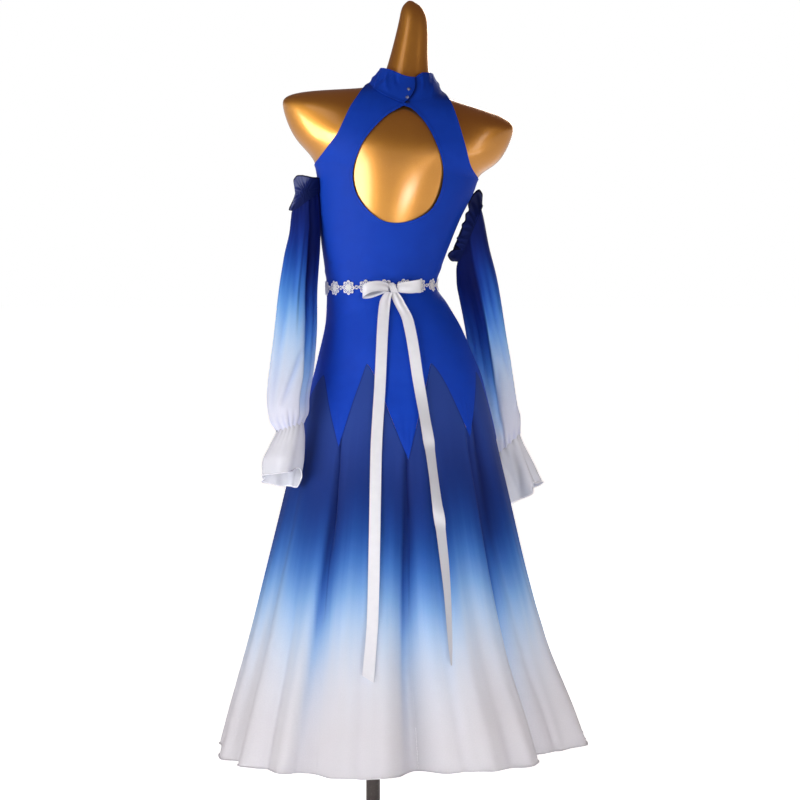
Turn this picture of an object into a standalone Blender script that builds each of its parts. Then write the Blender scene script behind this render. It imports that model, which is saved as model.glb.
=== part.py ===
"""Halter-neck ballroom dance dress on a limbless dress form with a pole stand.

Frame: metres, +Z up. The dress's back faces -Y, and the origin is on the floor under the pole.
Angles run round the body in degrees: 0 is the centre back (-Y), 90 the side at +X, 180 the front.

A cloth piece is cut as a flat sheet, in angle and height, given two layers, and laid on the body
surface by its distance out from it. Pieces that are sewn together share their seam line, so their
walls meet edge to edge. Tables hold millimetres and degrees, a row for each ring, point or fold.
"""
import math
from functools import partial

import bmesh
import bpy
from mathutils import Matrix, Vector

for old in list(bpy.data.objects):
    bpy.data.objects.remove(old, do_unlink=True)

OBJECT = "ballroom_dance_dress"
MM = 0.001
UP = Vector((0, 0, 1))

# Cloth thicknesses and the clearances between pieces.
JERSEY = 1.2 * MM
CHIFFON = 1.0 * MM
RIBBON = 1.0 * MM
LACE = 1.2 * MM
SEAM_GAP = 0.45 * MM
FORM_GAP = 1.9 * MM
TOUCH_GAP = 0.35 * MM

# The main heights of the dress.
HEM = 198 * MM
LINING_HEM = 276 * MM
LINING_TOP = 836 * MM
WAIST = 1110 * MM
UNDERARM = 1338 * MM
NECK_SIDE = 1503 * MM
NECK_BACK = 1468 * MM
NECK_FRONT = 1482 * MM
NECK_CURVE = 1.4

# The surface that the cloth lies on, from the hem to the neck seam:
# height, centre in X, half width, depth behind (-Y), depth in front (+Y), tilt about Y.
BODY = (
    (180, 60, 377, 375, 375, -2.0),
    (260, 56, 351, 348, 346, -1.8),
    (404, 48, 300, 295, 290, -1.2),
    (548, 46, 260, 248, 242, -0.6),
    (692, 47, 224, 203, 196, 0.0),
    (788, 47, 200, 171, 163, 0.0),
    (884, 48, 178, 139, 130, 0.0),
    (928, 49, 166, 126, 117, 0.0),
    (980, 45, 149, 116, 108, 0.0),
    (1028, 40, 133, 104, 99, 0.0),
    (1076, 28, 117, 90, 92, 0.0),
    (1112, 17, 106, 82, 88, 0.0),
    (1148, 20, 113, 84, 92, 0.0),
    (1200, 26, 126, 92, 106, 0.5),
    (1250, 34, 137, 99, 122, 2.0),
    (1316, 46, 154, 104, 118, 4.5),
    (1340, 47, 161, 105, 114, 5.2),
    (1382, 48, 206, 104, 104, 6.6),
    (1440, 50, 231, 90, 84, 6.6),
    (1455, 51, 233, 84, 76, 6.6),
    (1469, 53, 217, 77, 67, 6.6),
    (1480, 57, 180, 70, 60, 6.6),
    (1490, 62, 116, 64, 55, 6.6),
    (1497, 64, 84, 60, 52, 6.6),
    (1505, 65, 67, 56, 50, 6.6),
)
# The dress form below the hips, where the skirt leaves it, and its neck post above the neck seam.
FORM_FOOT = (
    (792, 44, 118, 84, 78, 0.0),
    (798, 45, 141, 102, 95, 0.0),
    (816, 46, 157, 116, 108, 0.0),
    (850, 47, 163, 122, 113, 0.0),
    (900, 48, 165, 125, 116, 0.0),
)
FORM_NECK = (
    (1469, 53, 213, 72, 62, 6.6),
    (1480, 57, 166, 63, 53, 6.6),
    (1490, 62, 100, 55, 48, 6.6),
    (1498, 64, 68, 51, 45, 6.0),
    (1512, 67, 50, 47, 43, 4.0),
    (1548, 70, 42, 42, 40, 0.0),
    (1584, 75, 37, 38, 36, 0.0),
    (1632, 81, 31, 32, 31, 0.0),
    (1650, 80, 27, 28, 27, 0.0),
    (1662, 78, 22, 22, 21, 0.0),
    (1670, 76, 14, 14, 13, 0.0),
    (1675, 74, 5, 5, 5, 0.0),
)
FORM_TRUNK_FOOT = 952
FORM_EASE = 1.4 * MM
FORM_SHOULDER_HEIGHTS = (1354, 1368, 1384, 1404, 1424, 1442, 1456)

# Long pointed fingers of the bodice: tip angle, tip height, the angle at which the seam below
# reaches the hem, and the depth of the fold that hangs from the tip.
FINGERS = (
    (6.5, 790, 5.5, 52),
    (47.0, 817, 48.5, 46),
    (90.0, 806, 90.0, 14),
    (137.0, 802, 136.0, 38),
    (184.0, 796, 185.0, 44),
    (229.0, 802, 230.0, 38),
    (270.0, 806, 270.0, 12),
    (326.0, 799, 333.0, 16),
)
# Arched godets set in between them, each just after the finger of its row: tip angle, tip height.
GODETS = (
    (25.5, 961),
    (71.0, 942),
    (114.0, 950),
    (160.0, 956),
    (206.0, 956),
    (250.0, 950),
    (299.0, 936),
    (338.5, 960),
)
ARCH_POWER = 0.75
ARCH_ROWS = 4
ARCH_ROW_SPACING = 1.4
FALL_ROWS = 5
GODET_SHARES = (0.0, 0.1, 0.3, 0.5, 0.7, 0.9, 1.0)
# Folds that lie within a godet: angle at the hem, lean towards the top, top height, depth, width.
FOLDS = (
    (66.0, -2.0, 520, 16, 5.0),
    (114.0, 2.0, 640, 26, 7.0),
    (160.0, -3.0, 600, 22, 7.0),
    (207.0, 2.0, 620, 24, 7.0),
    (250.0, -2.0, 640, 24, 7.0),
    (294.0, 4.0, 740, 32, 5.5),
    (313.0, 3.0, 600, 24, 5.5),
)
SEAM_FOLD_WIDTH = 7.5
FOLD_GROWTH = 1.25

# Armhole edges of the halter: height, X at the left edge, X at the right edge.
BACK_ARMHOLES = (
    (1338, -114, 208),
    (1365, -90, 191),
    (1396, -67, 182),
    (1420, -56, 175),
    (1449, -43, 166),
    (1475, -27, 156),
    (1487, -19, 149),
    (1497, -12, 142),
    (1503, -2, 132),
)
FRONT_ARMHOLES = (
    (1338, -114, 208),
    (1365, -97, 196),
    (1396, -78, 188),
    (1420, -66, 181),
    (1449, -52, 171),
    (1475, -31, 158),
    (1487, -20, 149),
    (1497, -13, 142),
    (1503, -2, 132),
)
HALTER_SHARES = (0.05, 0.12, 0.21, 0.33, 0.48, 0.65, 0.84, 1.0)
TRUNK_HEIGHTS = (1338, 1290, 1240, 1195, 1155, 1127, 1110, 1093, 1064, 1030, 994)
FINGER_CELLS = 5
HALF_FINGER_CELLS = 2
STRIPS = 5
BODICE_COLUMNS = 3 * FINGER_CELLS + 2 * HALF_FINGER_CELLS

KEYHOLE_CUT_Y = -90 * MM
KEYHOLE_CUT_REACH = 60 * MM
# Teardrop keyhole in the back: X and Z of its outline, from the point at the top.
KEYHOLE = (
    (62, 1474),
    (79, 1455),
    (104, 1428),
    (125, 1388),
    (137, 1350),
    (138, 1318),
    (130, 1286),
    (112, 1258),
    (80, 1240),
    (46, 1234),
    (16, 1241),
    (-13, 1264),
    (-33, 1296),
    (-38, 1334),
    (-26, 1375),
    (-7, 1407),
    (24, 1440),
    (50, 1457),
)

# Stand collar: its top ring, its height above the neck seam at its ends and the overlap behind.
COLLAR_TOP = {"x": 67, "half": 50, "back": 52, "front": 49, "side": 1540, "dip": 12}
COLLAR_OUTER_END = 9.0
COLLAR_UNDER_END = -22.0
COLLAR_LIFT = 2.2 * MM
COLLAR_LIFT_CLEAR = 2.0
COLLAR_LIFT_SPAN = 10.0
COLLAR_SEAM_LIFT = 2.2 * MM

# Sleeves: height of each ring's centre, X, Y, half width, half depth, tilt (+X side up).
LEFT_SLEEVE = (
    (830, -159, -125, 25, 21, 0.0),
    (848, -161, -121, 37, 32, 0.0),
    (878, -162, -116, 42, 38, 0.0),
    (950, -156, -100, 43, 38, 0.0),
    (1025, -149, -80, 40, 36, 0.0),
    (1100, -145, -60, 37, 33, 0.0),
    (1172, -139, -38, 33, 30, 6.0),
    (1236, -133, -20, 31, 28, 22.0),
    (1280, -132, -10, 32, 27, 36.0),
)
RIGHT_SLEEVE = (
    (795, 265, 124, 30, 24, 14.0),
    (818, 261, 120, 39, 34, 6.0),
    (870, 252, 110, 45, 38, 0.0),
    (950, 240, 94, 44, 38, 0.0),
    (1025, 228, 74, 42, 36, 4.0),
    (1100, 214, 52, 43, 34, 18.0),
    (1155, 202, 34, 46, 32, 42.0),
    (1216, 193, 15, 60, 30, 67.0),
)
# Gathered frills at the wrists, in the same columns, from the rim up.
LEFT_FRILL = (
    (725, -181, -142, 38, 34, 0.0),
    (770, -172, -136, 34, 30, 0.0),
    (812, -162, -128, 30, 26, 0.0),
    (829, -159, -125, 26, 22, 0.0),
)
RIGHT_FRILL = (
    (694, 309, 132, 44, 34, 26.0),
    (735, 290, 129, 38, 31, 22.0),
    (777, 272, 126, 32, 26, 16.0),
    (794, 265, 124, 31, 25, 14.0),
)
SLEEVE_COLUMNS = 14
FRILL_COLUMNS = 20
FRILL_WAVES = 5
FRILL_WAVE_DEPTH = 0.14
SLEEVE_CREASES = 3
SLEEVE_CREASE_DEPTH = 0.07
RUFFLE_GAP = 0.9 * MM
LEFT_RUFFLE_HEIGHT = 38 * MM
RIGHT_RUFFLE_HEIGHT = 24 * MM
RUFFLE_FLARE = 9 * MM
RUFFLE_WAVES = 6
RUFFLE_COLUMNS = 24
RUFFLE_WAVE_DEPTH = 3.5 * MM

# Inner skirt: how far its hem hangs inside the godets, and its rings as shares of its height.
LINING_COLUMNS = 44
LINING_SHARES = (1.0, 0.82, 0.62, 0.42, 0.2, 0.0)
LINING_DRAWN_IN = 14 * MM
LINING_INSIDE = 1.4 * MM

# Flower lace belt and the ribbon bow tied on it at the back.
DAISY_COUNT = 20
BELT_HALF_HEIGHT = 14 * MM
BELT_SCALLOP = 5.5 * MM
BELT_COLUMNS_PER_DAISY = 3
BELT_OFF = 1.45 * MM
BELT_RISE = 3 * MM
BOW_ANGLE = 11.0
BOW_HEIGHT = 1107 * MM
BOW_KNOT = {"width": 15 * MM, "depth": 8 * MM, "height": 17 * MM}
BOW_KNOT_OFF = 2.2 * MM
BOW_LOOP_OFF = 1.5 * MM
BOW_LOOP_COLUMNS = 14
BOW_LOOP_ROOT = 0.3
# Bow loops: side, reach from the knot, ribbon width at the knot, widest width, droop, opening.
BOW_LOOPS = {
    "bow_loop_left": (-1, 50, 13, 27, 12, 11),
    "bow_loop_right": (1, 48, 13, 25, -3, 8),
}
TAIL_STEPS = 14
TAIL_CUT_REACH = 60
LEFT_TAIL_CUT = -14
RIGHT_TAIL_CUT = 0
# Ribbon tails: height, X, how far the ribbon stands off the skirt, its width, its turn about Z.
LEFT_TAIL = (
    (371, -4, 9, 22, 4),
    (480, 4, 8, 22, 0),
    (626, 7, 7, 22, -3),
    (779, 9, 6, 22, 0),
    (925, 17, 6, 22, 0),
    (1040, 24, 7, 20, 0),
    (1096, 32, 9, 9, 0),
)
RIGHT_TAIL = (
    (390, 147, 12, 5, 60),
    (430, 145, 11, 12, 48),
    (507, 141, 10, 17, 40),
    (626, 130, 9, 22, 12),
    (779, 111, 8, 22, 0),
    (925, 88, 6, 22, 0),
    (1040, 68, 7, 20, 0),
    (1095, 42, 8, 9, 0),
)

# Collar fastening: two small round buttons and a hook below them.
BUTTON_RADIUS = 3.2 * MM
BUTTON_DEPTH = 2.6 * MM
BUTTON_SHARES = (0.52, 0.22)
BUTTON_ANGLE = 360.0 + COLLAR_OUTER_END - 5.0
HOOK_SIZE = (6 * MM, 4 * MM, 1.4 * MM)
HOOK_ANGLE = 360.0 + COLLAR_OUTER_END - 4.0
HOOK_SHARE = 0.04
HOOK_OFF = 1.2 * MM

# The stand under the dress form.
POLE_RADIUS = 14 * MM
SOCKET_RADIUS = 24 * MM
SOCKET_HEIGHT = 30 * MM
BASE_RADIUS = 175 * MM
BASE_RIM = 5 * MM
BASE_HEIGHT = 14 * MM
FLANGE_RADIUS = 34 * MM
FLANGE_HEIGHT = 16 * MM
EDGE_SLOPE = 4 * MM
FORM_COLUMNS = 40

# Finishes: colour, roughness, metallic.
FINISHES = {
    "blue_jersey": ((0.013, 0.062, 0.50), 0.62, 0.0),
    "ombre_chiffon": ((0.20, 0.36, 0.72), 0.58, 0.0),
    "lining": ((0.30, 0.42, 0.70), 0.65, 0.0),
    "navy_chiffon": ((0.008, 0.016, 0.10), 0.60, 0.0),
    "white_chiffon": ((0.70, 0.70, 0.76), 0.60, 0.0),
    "white_lace": ((0.82, 0.82, 0.86), 0.70, 0.0),
    "white_satin": ((0.76, 0.76, 0.80), 0.32, 0.0),
    "crystal": ((0.80, 0.84, 0.92), 0.08, 0.0),
    "black_metal": ((0.012, 0.012, 0.014), 0.40, 0.9),
    "gold_gloss": ((0.46, 0.20, 0.05), 0.22, 0.35),
    "brown_metal": ((0.06, 0.048, 0.045), 0.45, 0.6),
}


# ---------------------------------------------------------------- collections and materials
parts = bpy.data.collections.new(OBJECT)
cutters = bpy.data.collections.new("cutters")
for collection in (parts, cutters):
    bpy.context.scene.collection.children.link(collection)


def finish(name):
    """The Principled material of a finish, made once."""
    if name in bpy.data.materials:
        return bpy.data.materials[name]
    colour, roughness, metallic = FINISHES[name]
    material = bpy.data.materials.new(name)
    material.use_nodes = True
    shader = material.node_tree.nodes["Principled BSDF"]
    shader.inputs["Base Color"].default_value = (*colour, 1.0)
    shader.inputs["Roughness"].default_value = roughness
    shader.inputs["Metallic"].default_value = metallic
    return material


def add_part(name, bm, finish_name):
    """A smooth-shaded object of the dress from a closed bmesh, its faces turned outwards."""
    if bm.calc_volume(signed=True) < 0:
        bmesh.ops.reverse_faces(bm, faces=bm.faces[:])
    mesh = bpy.data.meshes.new(name)
    bm.to_mesh(mesh)
    bm.free()
    mesh.shade_smooth()
    mesh.set_sharp_from_angle(angle=math.radians(50))
    mesh.materials.append(finish(finish_name))
    part = bpy.data.objects.new(name, mesh)
    parts.objects.link(part)
    return part


# ---------------------------------------------------------------- tables and surfaces
def slope_at(rows, index, column):
    """Slope of a table's smooth curve at one of its rows, flat where the column turns."""
    steps = []
    for low in (index - 1, index):
        if 0 <= low < len(rows) - 1:
            rise = rows[low + 1][column] - rows[low][column]
            steps.append(rise / (rows[low + 1][0] - rows[low][0]))
    if len(steps) == 1:
        return steps[0]
    before, after = steps
    if before * after <= 0:
        return 0.0
    return 2 * before * after / (before + after)


def row_at(rows, key):
    """The columns of a table at a key between its rows, on a smooth curve through them."""
    index = 0
    while index < len(rows) - 2 and key > rows[index + 1][0]:
        index += 1
    low, high = rows[index], rows[index + 1]
    span = high[0] - low[0]
    t = (key - low[0]) / span
    columns = []
    for column in range(1, len(low)):
        start = slope_at(rows, index, column) * span
        end = slope_at(rows, index + 1, column) * span
        ease = t * t * (3 - 2 * t)
        columns.append(
            low[column] * (1 - ease)
            + high[column] * ease
            + start * t * (1 - t) * (1 - t)
            - end * t * t * (1 - t)
        )
    return columns


def mix(start, end, share):
    return start + (end - start) * share


def beside(angle, near):
    """The same direction, written within half a turn of another angle."""
    return angle + 360.0 * round((near - angle) / 360.0)


def hanging_folds():
    """All folds of the skirt: those under the finger tips, then those within the godets."""
    for tip_angle, tip_height, hem_angle, depth in FINGERS:
        yield hem_angle, beside(tip_angle, hem_angle) - hem_angle, tip_height, depth, SEAM_FOLD_WIDTH
    yield from FOLDS


def fold_depth(angle, height):
    """How far the folds draw the skirt in at a place; every fold deepens towards the hem."""
    depth = 0.0
    for hem_angle, lean, top, full_depth, width in hanging_folds():
        grown = (top * MM - height) / (top * MM - HEM)
        if grown > 0:
            off = angle - hem_angle - lean * (1 - grown)
            off = beside(off, 0.0)
            depth += full_depth * MM * grown**FOLD_GROWTH * math.exp(-((off / width) ** 2))
    return depth


def ring_point(rings, angle, height, inward=0.0):
    """A point of the body surface, on the ring at a height."""
    centre, half, back, front, tilt = row_at(rings, height / MM)
    turn = math.radians(angle)
    depth = back if math.cos(turn) > 0 else front
    drawn = 1 - inward / (half * MM)
    x = half * MM * math.sin(turn) * drawn
    y = -depth * MM * math.cos(turn) * drawn
    return Vector((centre * MM + x, y, height - x * math.tan(math.radians(tilt))))


def body(angle, height):
    """The surface under the bodice and the skirt."""
    return ring_point(BODY, angle, height, fold_depth(angle, height))


def moved_out(surface, angle, height, out):
    """A point of a surface, moved out along the surface's own normal."""
    across = surface(angle + 0.1, height) - surface(angle - 0.1, height)
    upwards = surface(angle, height + 0.2 * MM) - surface(angle, height - 0.2 * MM)
    return surface(angle, height) + across.cross(upwards).normalized() * out


# ---------------------------------------------------------------- cutting and laying cloth
def lay_grid(sheet, columns, rows, pattern):
    """Adds a grid to a flat sheet; pattern gives the angle and height of each crossing."""
    grid = bmesh.ops.create_grid(sheet, x_segments=columns, y_segments=rows, size=0.5)
    for vert in grid["verts"]:
        column = round((vert.co.x + 0.5) * columns)
        row = round((0.5 - vert.co.y) * rows)
        vert.co = Vector((*pattern(column, row), 0.0))


def cloth(name, sheet, surface, inner, outer, finish_name, joined_round=False):
    """Gives a flat sheet two layers and lays them on a surface, at two distances out from it."""
    bmesh.ops.remove_doubles(sheet, verts=sheet.verts[:], dist=1e-4)
    bmesh.ops.solidify(sheet, geom=sheet.faces[:], thickness=1.0)
    if joined_round:
        ends = (min(v.co.x for v in sheet.verts), max(v.co.x for v in sheet.verts))
        for end in ends:
            rim = [f for f in sheet.faces if all(abs(v.co.x - end) < 1e-4 for v in f.verts)]
            bmesh.ops.delete(sheet, geom=rim, context="FACES")
    for vert in sheet.verts:
        out = inner if abs(vert.co.z) < 0.5 else outer
        vert.co = moved_out(surface, vert.co.x, vert.co.y, out)
    bmesh.ops.remove_doubles(sheet, verts=sheet.verts[:], dist=2e-6)
    return add_part(name, sheet, finish_name)


def seam_shift(height, side):
    """Half a seam gap, as an angle, to one side of a seam."""
    half_width = row_at(BODY, height / MM)[1] * MM
    return side * math.degrees(0.5 * SEAM_GAP / half_width)


def arch_seam(finger, godet, row):
    """Angle and height of a godet's edge: down its arch to the finger's tip, then to the hem."""
    tip_angle, tip_height, hem_angle, _ = FINGERS[finger % len(FINGERS)]
    top_angle, top_height = GODETS[godet % len(GODETS)]
    tip_angle = beside(tip_angle, top_angle)
    if row <= ARCH_ROWS:
        t = (row / ARCH_ROWS) ** ARCH_ROW_SPACING
        angle = mix(top_angle, tip_angle, t**ARCH_POWER)
        return angle, mix(top_height, tip_height, t) * MM
    t = (row - ARCH_ROWS) / FALL_ROWS
    return mix(tip_angle, beside(hem_angle, tip_angle), t), mix(tip_height * MM, HEM, t)


def godet_sheet(godet):
    """A godet: an arch between two fingers above, a flared panel below."""

    def pattern(column, row):
        left_angle, left_height = arch_seam(godet, godet, row)
        right_angle, right_height = arch_seam(godet + 1, godet, row)
        share = GODET_SHARES[column]
        height = mix(left_height, right_height, share)
        if row == 0:
            return left_angle, height - 2 * SEAM_GAP
        left_angle += seam_shift(left_height, 1)
        right_angle += seam_shift(right_height, -1)
        return mix(left_angle, right_angle, share), height

    sheet = bmesh.new()
    lay_grid(sheet, len(GODET_SHARES) - 1, ARCH_ROWS + FALL_ROWS, pattern)
    return sheet


def armhole_angle(armholes, height, side, front):
    """The angle at which an armhole's edge crosses a height."""
    edge = row_at(armholes, height / MM)[0 if side < 0 else 1]
    centre, half = row_at(BODY, height / MM)[:2]
    angle = math.degrees(math.asin(max(-1.0, min(1.0, (edge - centre) / half))))
    return 180.0 - angle if front else angle


def neck_seam_height(share, centre_height):
    """Height of the neck seam across a panel: lowest at the middle, highest at the armholes."""
    return mix(centre_height, NECK_SIDE, abs(2 * share - 1) ** NECK_CURVE)


def halter_point(front, share, climb):
    """A point of the halter above the underarm: share across the panel, climb to the neck."""
    armholes = FRONT_ARMHOLES if front else BACK_ARMHOLES
    top = neck_seam_height(share, NECK_FRONT if front else NECK_BACK)
    height = mix(UNDERARM, top, climb)
    first, last = (1, -1) if front else (-1, 1)
    start = armhole_angle(armholes, height, first, front)
    end = armhole_angle(armholes, height, last, front)
    return mix(start, end, share), height


def finger_edge(finger, side, near, row):
    """Edge of a finger on one side (-1 or 1), at a row of the arch that it shares."""
    tip_angle, tip_height = FINGERS[finger % len(FINGERS)][:2]
    if row == ARCH_ROWS:
        return beside(tip_angle, near), tip_height * MM + 2 * SEAM_GAP
    angle, height = arch_seam(finger, finger - 1 if side < 0 else finger, row)
    angle = beside(angle, near)
    if row > 0:
        angle += seam_shift(height, -side)
    return angle, height


def side_seam(finger, seam_angle, side, row):
    """The bodice's side seam, straight down the finger that it splits."""
    height = mix(arch_seam(finger, finger - 1, row)[1], arch_seam(finger, finger, row)[1], 0.5)
    return seam_angle + seam_shift(height, side), height


def strip_pattern(front, cells, left_edge, right_edge):
    """Pattern of a strip of the bodice: halter and trunk above, a finger below."""
    start_angle = 90.0 if front else -90.0
    upper_rows = len(HALTER_SHARES) + len(TRUNK_HEIGHTS)

    def pattern(column, row):
        share = column / cells
        arch_row = max(0, row - upper_rows)
        left_angle, left_height = left_edge(arch_row)
        right_angle, right_height = right_edge(arch_row)
        angle = mix(left_angle, right_angle, share)
        if row >= upper_rows:
            return angle, mix(left_height, right_height, share)
        trunk_row = row - len(HALTER_SHARES)
        if trunk_row >= 0:
            return angle, TRUNK_HEIGHTS[trunk_row] * MM
        return halter_point(front, (angle - start_angle) / 180.0, HALTER_SHARES[-trunk_row - 1])

    return pattern


def bodice_sheet(front):
    """Half of the bodice, from side seam to side seam, in strips that end in fingers."""
    start_angle = 90.0 if front else -90.0
    first_finger = 2 if front else -2
    rows = len(HALTER_SHARES) + len(TRUNK_HEIGHTS) + ARCH_ROWS
    sheet = bmesh.new()
    for strip in range(STRIPS):
        finger = first_finger + strip
        cells = FINGER_CELLS
        left_edge = partial(finger_edge, finger, -1, start_angle + 90.0)
        right_edge = partial(finger_edge, finger, 1, start_angle + 90.0)
        if strip == 0:
            cells = HALF_FINGER_CELLS
            left_edge = partial(side_seam, finger, start_angle, 1)
        if strip == STRIPS - 1:
            cells = HALF_FINGER_CELLS
            right_edge = partial(side_seam, finger, start_angle + 180.0, -1)
        lay_grid(sheet, cells, rows, strip_pattern(front, cells, left_edge, right_edge))
    return sheet


# ---------------------------------------------------------------- bodice and skirt
BODICE_IN = FORM_GAP
BODICE_OUT = FORM_GAP + JERSEY

bodice_back = cloth("bodice_back", bodice_sheet(False), body, BODICE_IN, BODICE_OUT, "blue_jersey")
cloth("bodice_front", bodice_sheet(True), body, BODICE_IN, BODICE_OUT, "blue_jersey")
for godet in range(len(GODETS)):
    godet_out = BODICE_IN + CHIFFON
    cloth(f"godet_{godet + 1}", godet_sheet(godet), body, BODICE_IN, godet_out, "ombre_chiffon")


def cut_keyhole():
    """Cuts the teardrop opening through the back, along Y."""
    outline = bpy.data.curves.new("keyhole_cutter", "CURVE")
    outline.dimensions = "2D"
    outline.fill_mode = "BOTH"
    outline.extrude = KEYHOLE_CUT_REACH
    outline.resolution_u = 3
    spline = outline.splines.new("BEZIER")
    spline.bezier_points.add(len(KEYHOLE) - 1)
    spline.use_cyclic_u = True
    for point, (x, z) in zip(spline.bezier_points, KEYHOLE):
        point.co = (x * MM, z * MM, 0)
        point.handle_left_type = point.handle_right_type = "AUTO"
    spline.bezier_points[0].handle_left_type = "VECTOR"
    spline.bezier_points[0].handle_right_type = "VECTOR"
    guide = bpy.data.objects.new("keyhole_guide", outline)
    cutters.objects.link(guide)
    upright = Matrix.Translation((0, KEYHOLE_CUT_Y, 0)) @ Matrix.Rotation(math.radians(90), 4, "X")
    guide.matrix_world = upright
    bpy.context.view_layer.update()
    evaluated = guide.evaluated_get(bpy.context.evaluated_depsgraph_get())
    mesh = bpy.data.meshes.new_from_object(evaluated)
    bm = bmesh.new()
    bm.from_mesh(mesh)
    bmesh.ops.remove_doubles(bm, verts=bm.verts[:], dist=1e-5)
    bmesh.ops.recalc_face_normals(bm, faces=bm.faces[:])
    bm.to_mesh(mesh)
    bm.free()
    cutter = bpy.data.objects.new("keyhole_cutter", mesh)
    cutter.matrix_world = upright
    cutters.objects.link(cutter)
    cutter.hide_render = True
    cutter.display_type = "WIRE"
    bpy.data.objects.remove(guide, do_unlink=True)
    cut = bodice_back.modifiers.new("keyhole", "BOOLEAN")
    cut.operation = "DIFFERENCE"
    cut.solver = "MANIFOLD"
    cut.object = cutter


cut_keyhole()


def lining_sheet():
    """Inner skirt: a flared tube inside the godets, shorter than they are."""
    sheet = bmesh.new()

    def pattern(column, row):
        return 360.0 * column / LINING_COLUMNS, mix(LINING_HEM, LINING_TOP, LINING_SHARES[row])

    lay_grid(sheet, LINING_COLUMNS, len(LINING_SHARES) - 1, pattern)
    return sheet


def lining_surface(angle, height):
    """The skirt's surface, drawn in evenly towards the hem."""
    drawn_in = LINING_DRAWN_IN * (LINING_TOP - height) / (LINING_TOP - LINING_HEM)
    return ring_point(BODY, angle, height, fold_depth(angle, height) + drawn_in)


lining_out = FORM_GAP - LINING_INSIDE
cloth(
    "skirt_lining", lining_sheet(), lining_surface, lining_out - CHIFFON, lining_out, "lining", True
)


# ---------------------------------------------------------------- collar and its fastening
def neck_columns():
    """The angle and height of the neck seam, round from the centre back to the centre back."""
    shares = [column / BODICE_COLUMNS for column in range(BODICE_COLUMNS + 1)]
    back = [halter_point(False, share, 1.0) for share in shares]
    front = [halter_point(True, share, 1.0) for share in shares]
    turn = [(angle, height) for angle, height in back if angle > 0]
    turn += front
    turn += [(angle + 360.0, height) for angle, height in back if angle < 0]
    return turn


def neck_height_at(angle):
    """Height of the neck seam at an angle."""
    turn = neck_columns()
    points = [(turn[-1][0] - 360.0, turn[-1][1])] + turn + [(turn[0][0] + 360.0, turn[0][1])]
    wrapped = angle % 360.0
    for low, high in zip(points, points[1:]):
        if low[0] <= wrapped <= high[0]:
            return mix(low[1], high[1], (wrapped - low[0]) / (high[0] - low[0]))
    return NECK_SIDE


def collar_surface(angle, climb):
    """The stand collar: from just above the neck seam (0) in to its top ring (1)."""
    foot = body(angle, neck_height_at(angle)) + Vector((0, 0, COLLAR_SEAM_LIFT))
    turn = math.radians(angle)
    depth = COLLAR_TOP["back"] if math.cos(turn) > 0 else COLLAR_TOP["front"]
    dip = COLLAR_TOP["dip"] * max(0.0, math.cos(turn)) ** 3
    top = Vector((
        (COLLAR_TOP["x"] + COLLAR_TOP["half"] * math.sin(turn)) * MM,
        -depth * math.cos(turn) * MM,
        (COLLAR_TOP["side"] - dip) * MM,
    ))
    return foot.lerp(top, climb)


def collar_lift(angle):
    """The outer end stands off, over the end that it covers."""
    full_from = 360.0 + COLLAR_UNDER_END - COLLAR_LIFT_CLEAR
    return COLLAR_LIFT * max(0.0, min(1.0, 1 + (angle - full_from) / COLLAR_LIFT_SPAN))


def collar_out(angle, climb, out):
    """A point at a distance out from the collar's surface, lifted where the collar overlaps."""
    across = collar_surface(angle + 0.2, climb) - collar_surface(angle - 0.2, climb)
    upwards = collar_surface(angle, 1.0) - collar_surface(angle, 0.0)
    normal = across.cross(upwards).normalized()
    return collar_surface(angle, climb) + normal * (out + collar_lift(angle))


def make_collar():
    """The stand collar, from its end underneath, round the neck to the end that laps over it."""
    turn = [COLLAR_UNDER_END, COLLAR_UNDER_END / 2]
    turn += [angle for angle, _ in neck_columns() if 2.0 < angle < 358.0]
    turn += [360.0, 360.0 + COLLAR_OUTER_END]
    sheet = bmesh.new()
    lay_grid(sheet, len(turn) - 1, 1, lambda column, row: (turn[column], 1.0 - row))
    bmesh.ops.solidify(sheet, geom=sheet.faces[:], thickness=1.0)
    for vert in sheet.verts:
        out = BODICE_IN if abs(vert.co.z) < 0.5 else BODICE_OUT
        vert.co = collar_out(vert.co.x, vert.co.y, out)
    add_part("collar", sheet, "blue_jersey")


make_collar()


def frame_on(point, normal):
    """A matrix whose Z points along a normal and whose Y is as near as can be to upright."""
    side = UP.cross(normal).normalized()
    frame = Matrix.Identity(3)
    frame.col[0], frame.col[1], frame.col[2] = side, normal.cross(side), normal
    return Matrix.Translation(point) @ frame.to_4x4()


def collar_normal(angle, climb):
    return (collar_out(angle, climb, 1.0) - collar_out(angle, climb, 0.0)).normalized()


def make_fastening():
    """Two domed buttons on the collar's outer end, and a hook at its foot."""
    for number, climb in enumerate(BUTTON_SHARES, start=1):
        seat = collar_out(BUTTON_ANGLE, climb, BODICE_OUT + TOUCH_GAP)
        bm = bmesh.new()
        bmesh.ops.create_cone(
            bm,
            cap_ends=True,
            segments=10,
            radius1=BUTTON_RADIUS,
            radius2=0.55 * BUTTON_RADIUS,
            depth=BUTTON_DEPTH,
            matrix=Matrix.Translation((0, 0, BUTTON_DEPTH / 2)),
        )
        bm.transform(frame_on(seat, collar_normal(BUTTON_ANGLE, climb)))
        add_part(f"collar_button_{number}", bm, "crystal")
    seat = collar_out(HOOK_ANGLE, HOOK_SHARE, BODICE_OUT + HOOK_OFF)
    bm = bmesh.new()
    bmesh.ops.create_cube(bm, size=1.0)
    bmesh.ops.scale(bm, vec=HOOK_SIZE, verts=bm.verts[:])
    bmesh.ops.bevel(
        bm, geom=bm.edges[:], offset=HOOK_SIZE[2] / 4, segments=1, affect="EDGES", profile=0.5
    )
    bm.transform(frame_on(seat, collar_normal(360.0, HOOK_SHARE)))
    add_part("collar_hook", bm, "black_metal")


make_fastening()


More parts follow.
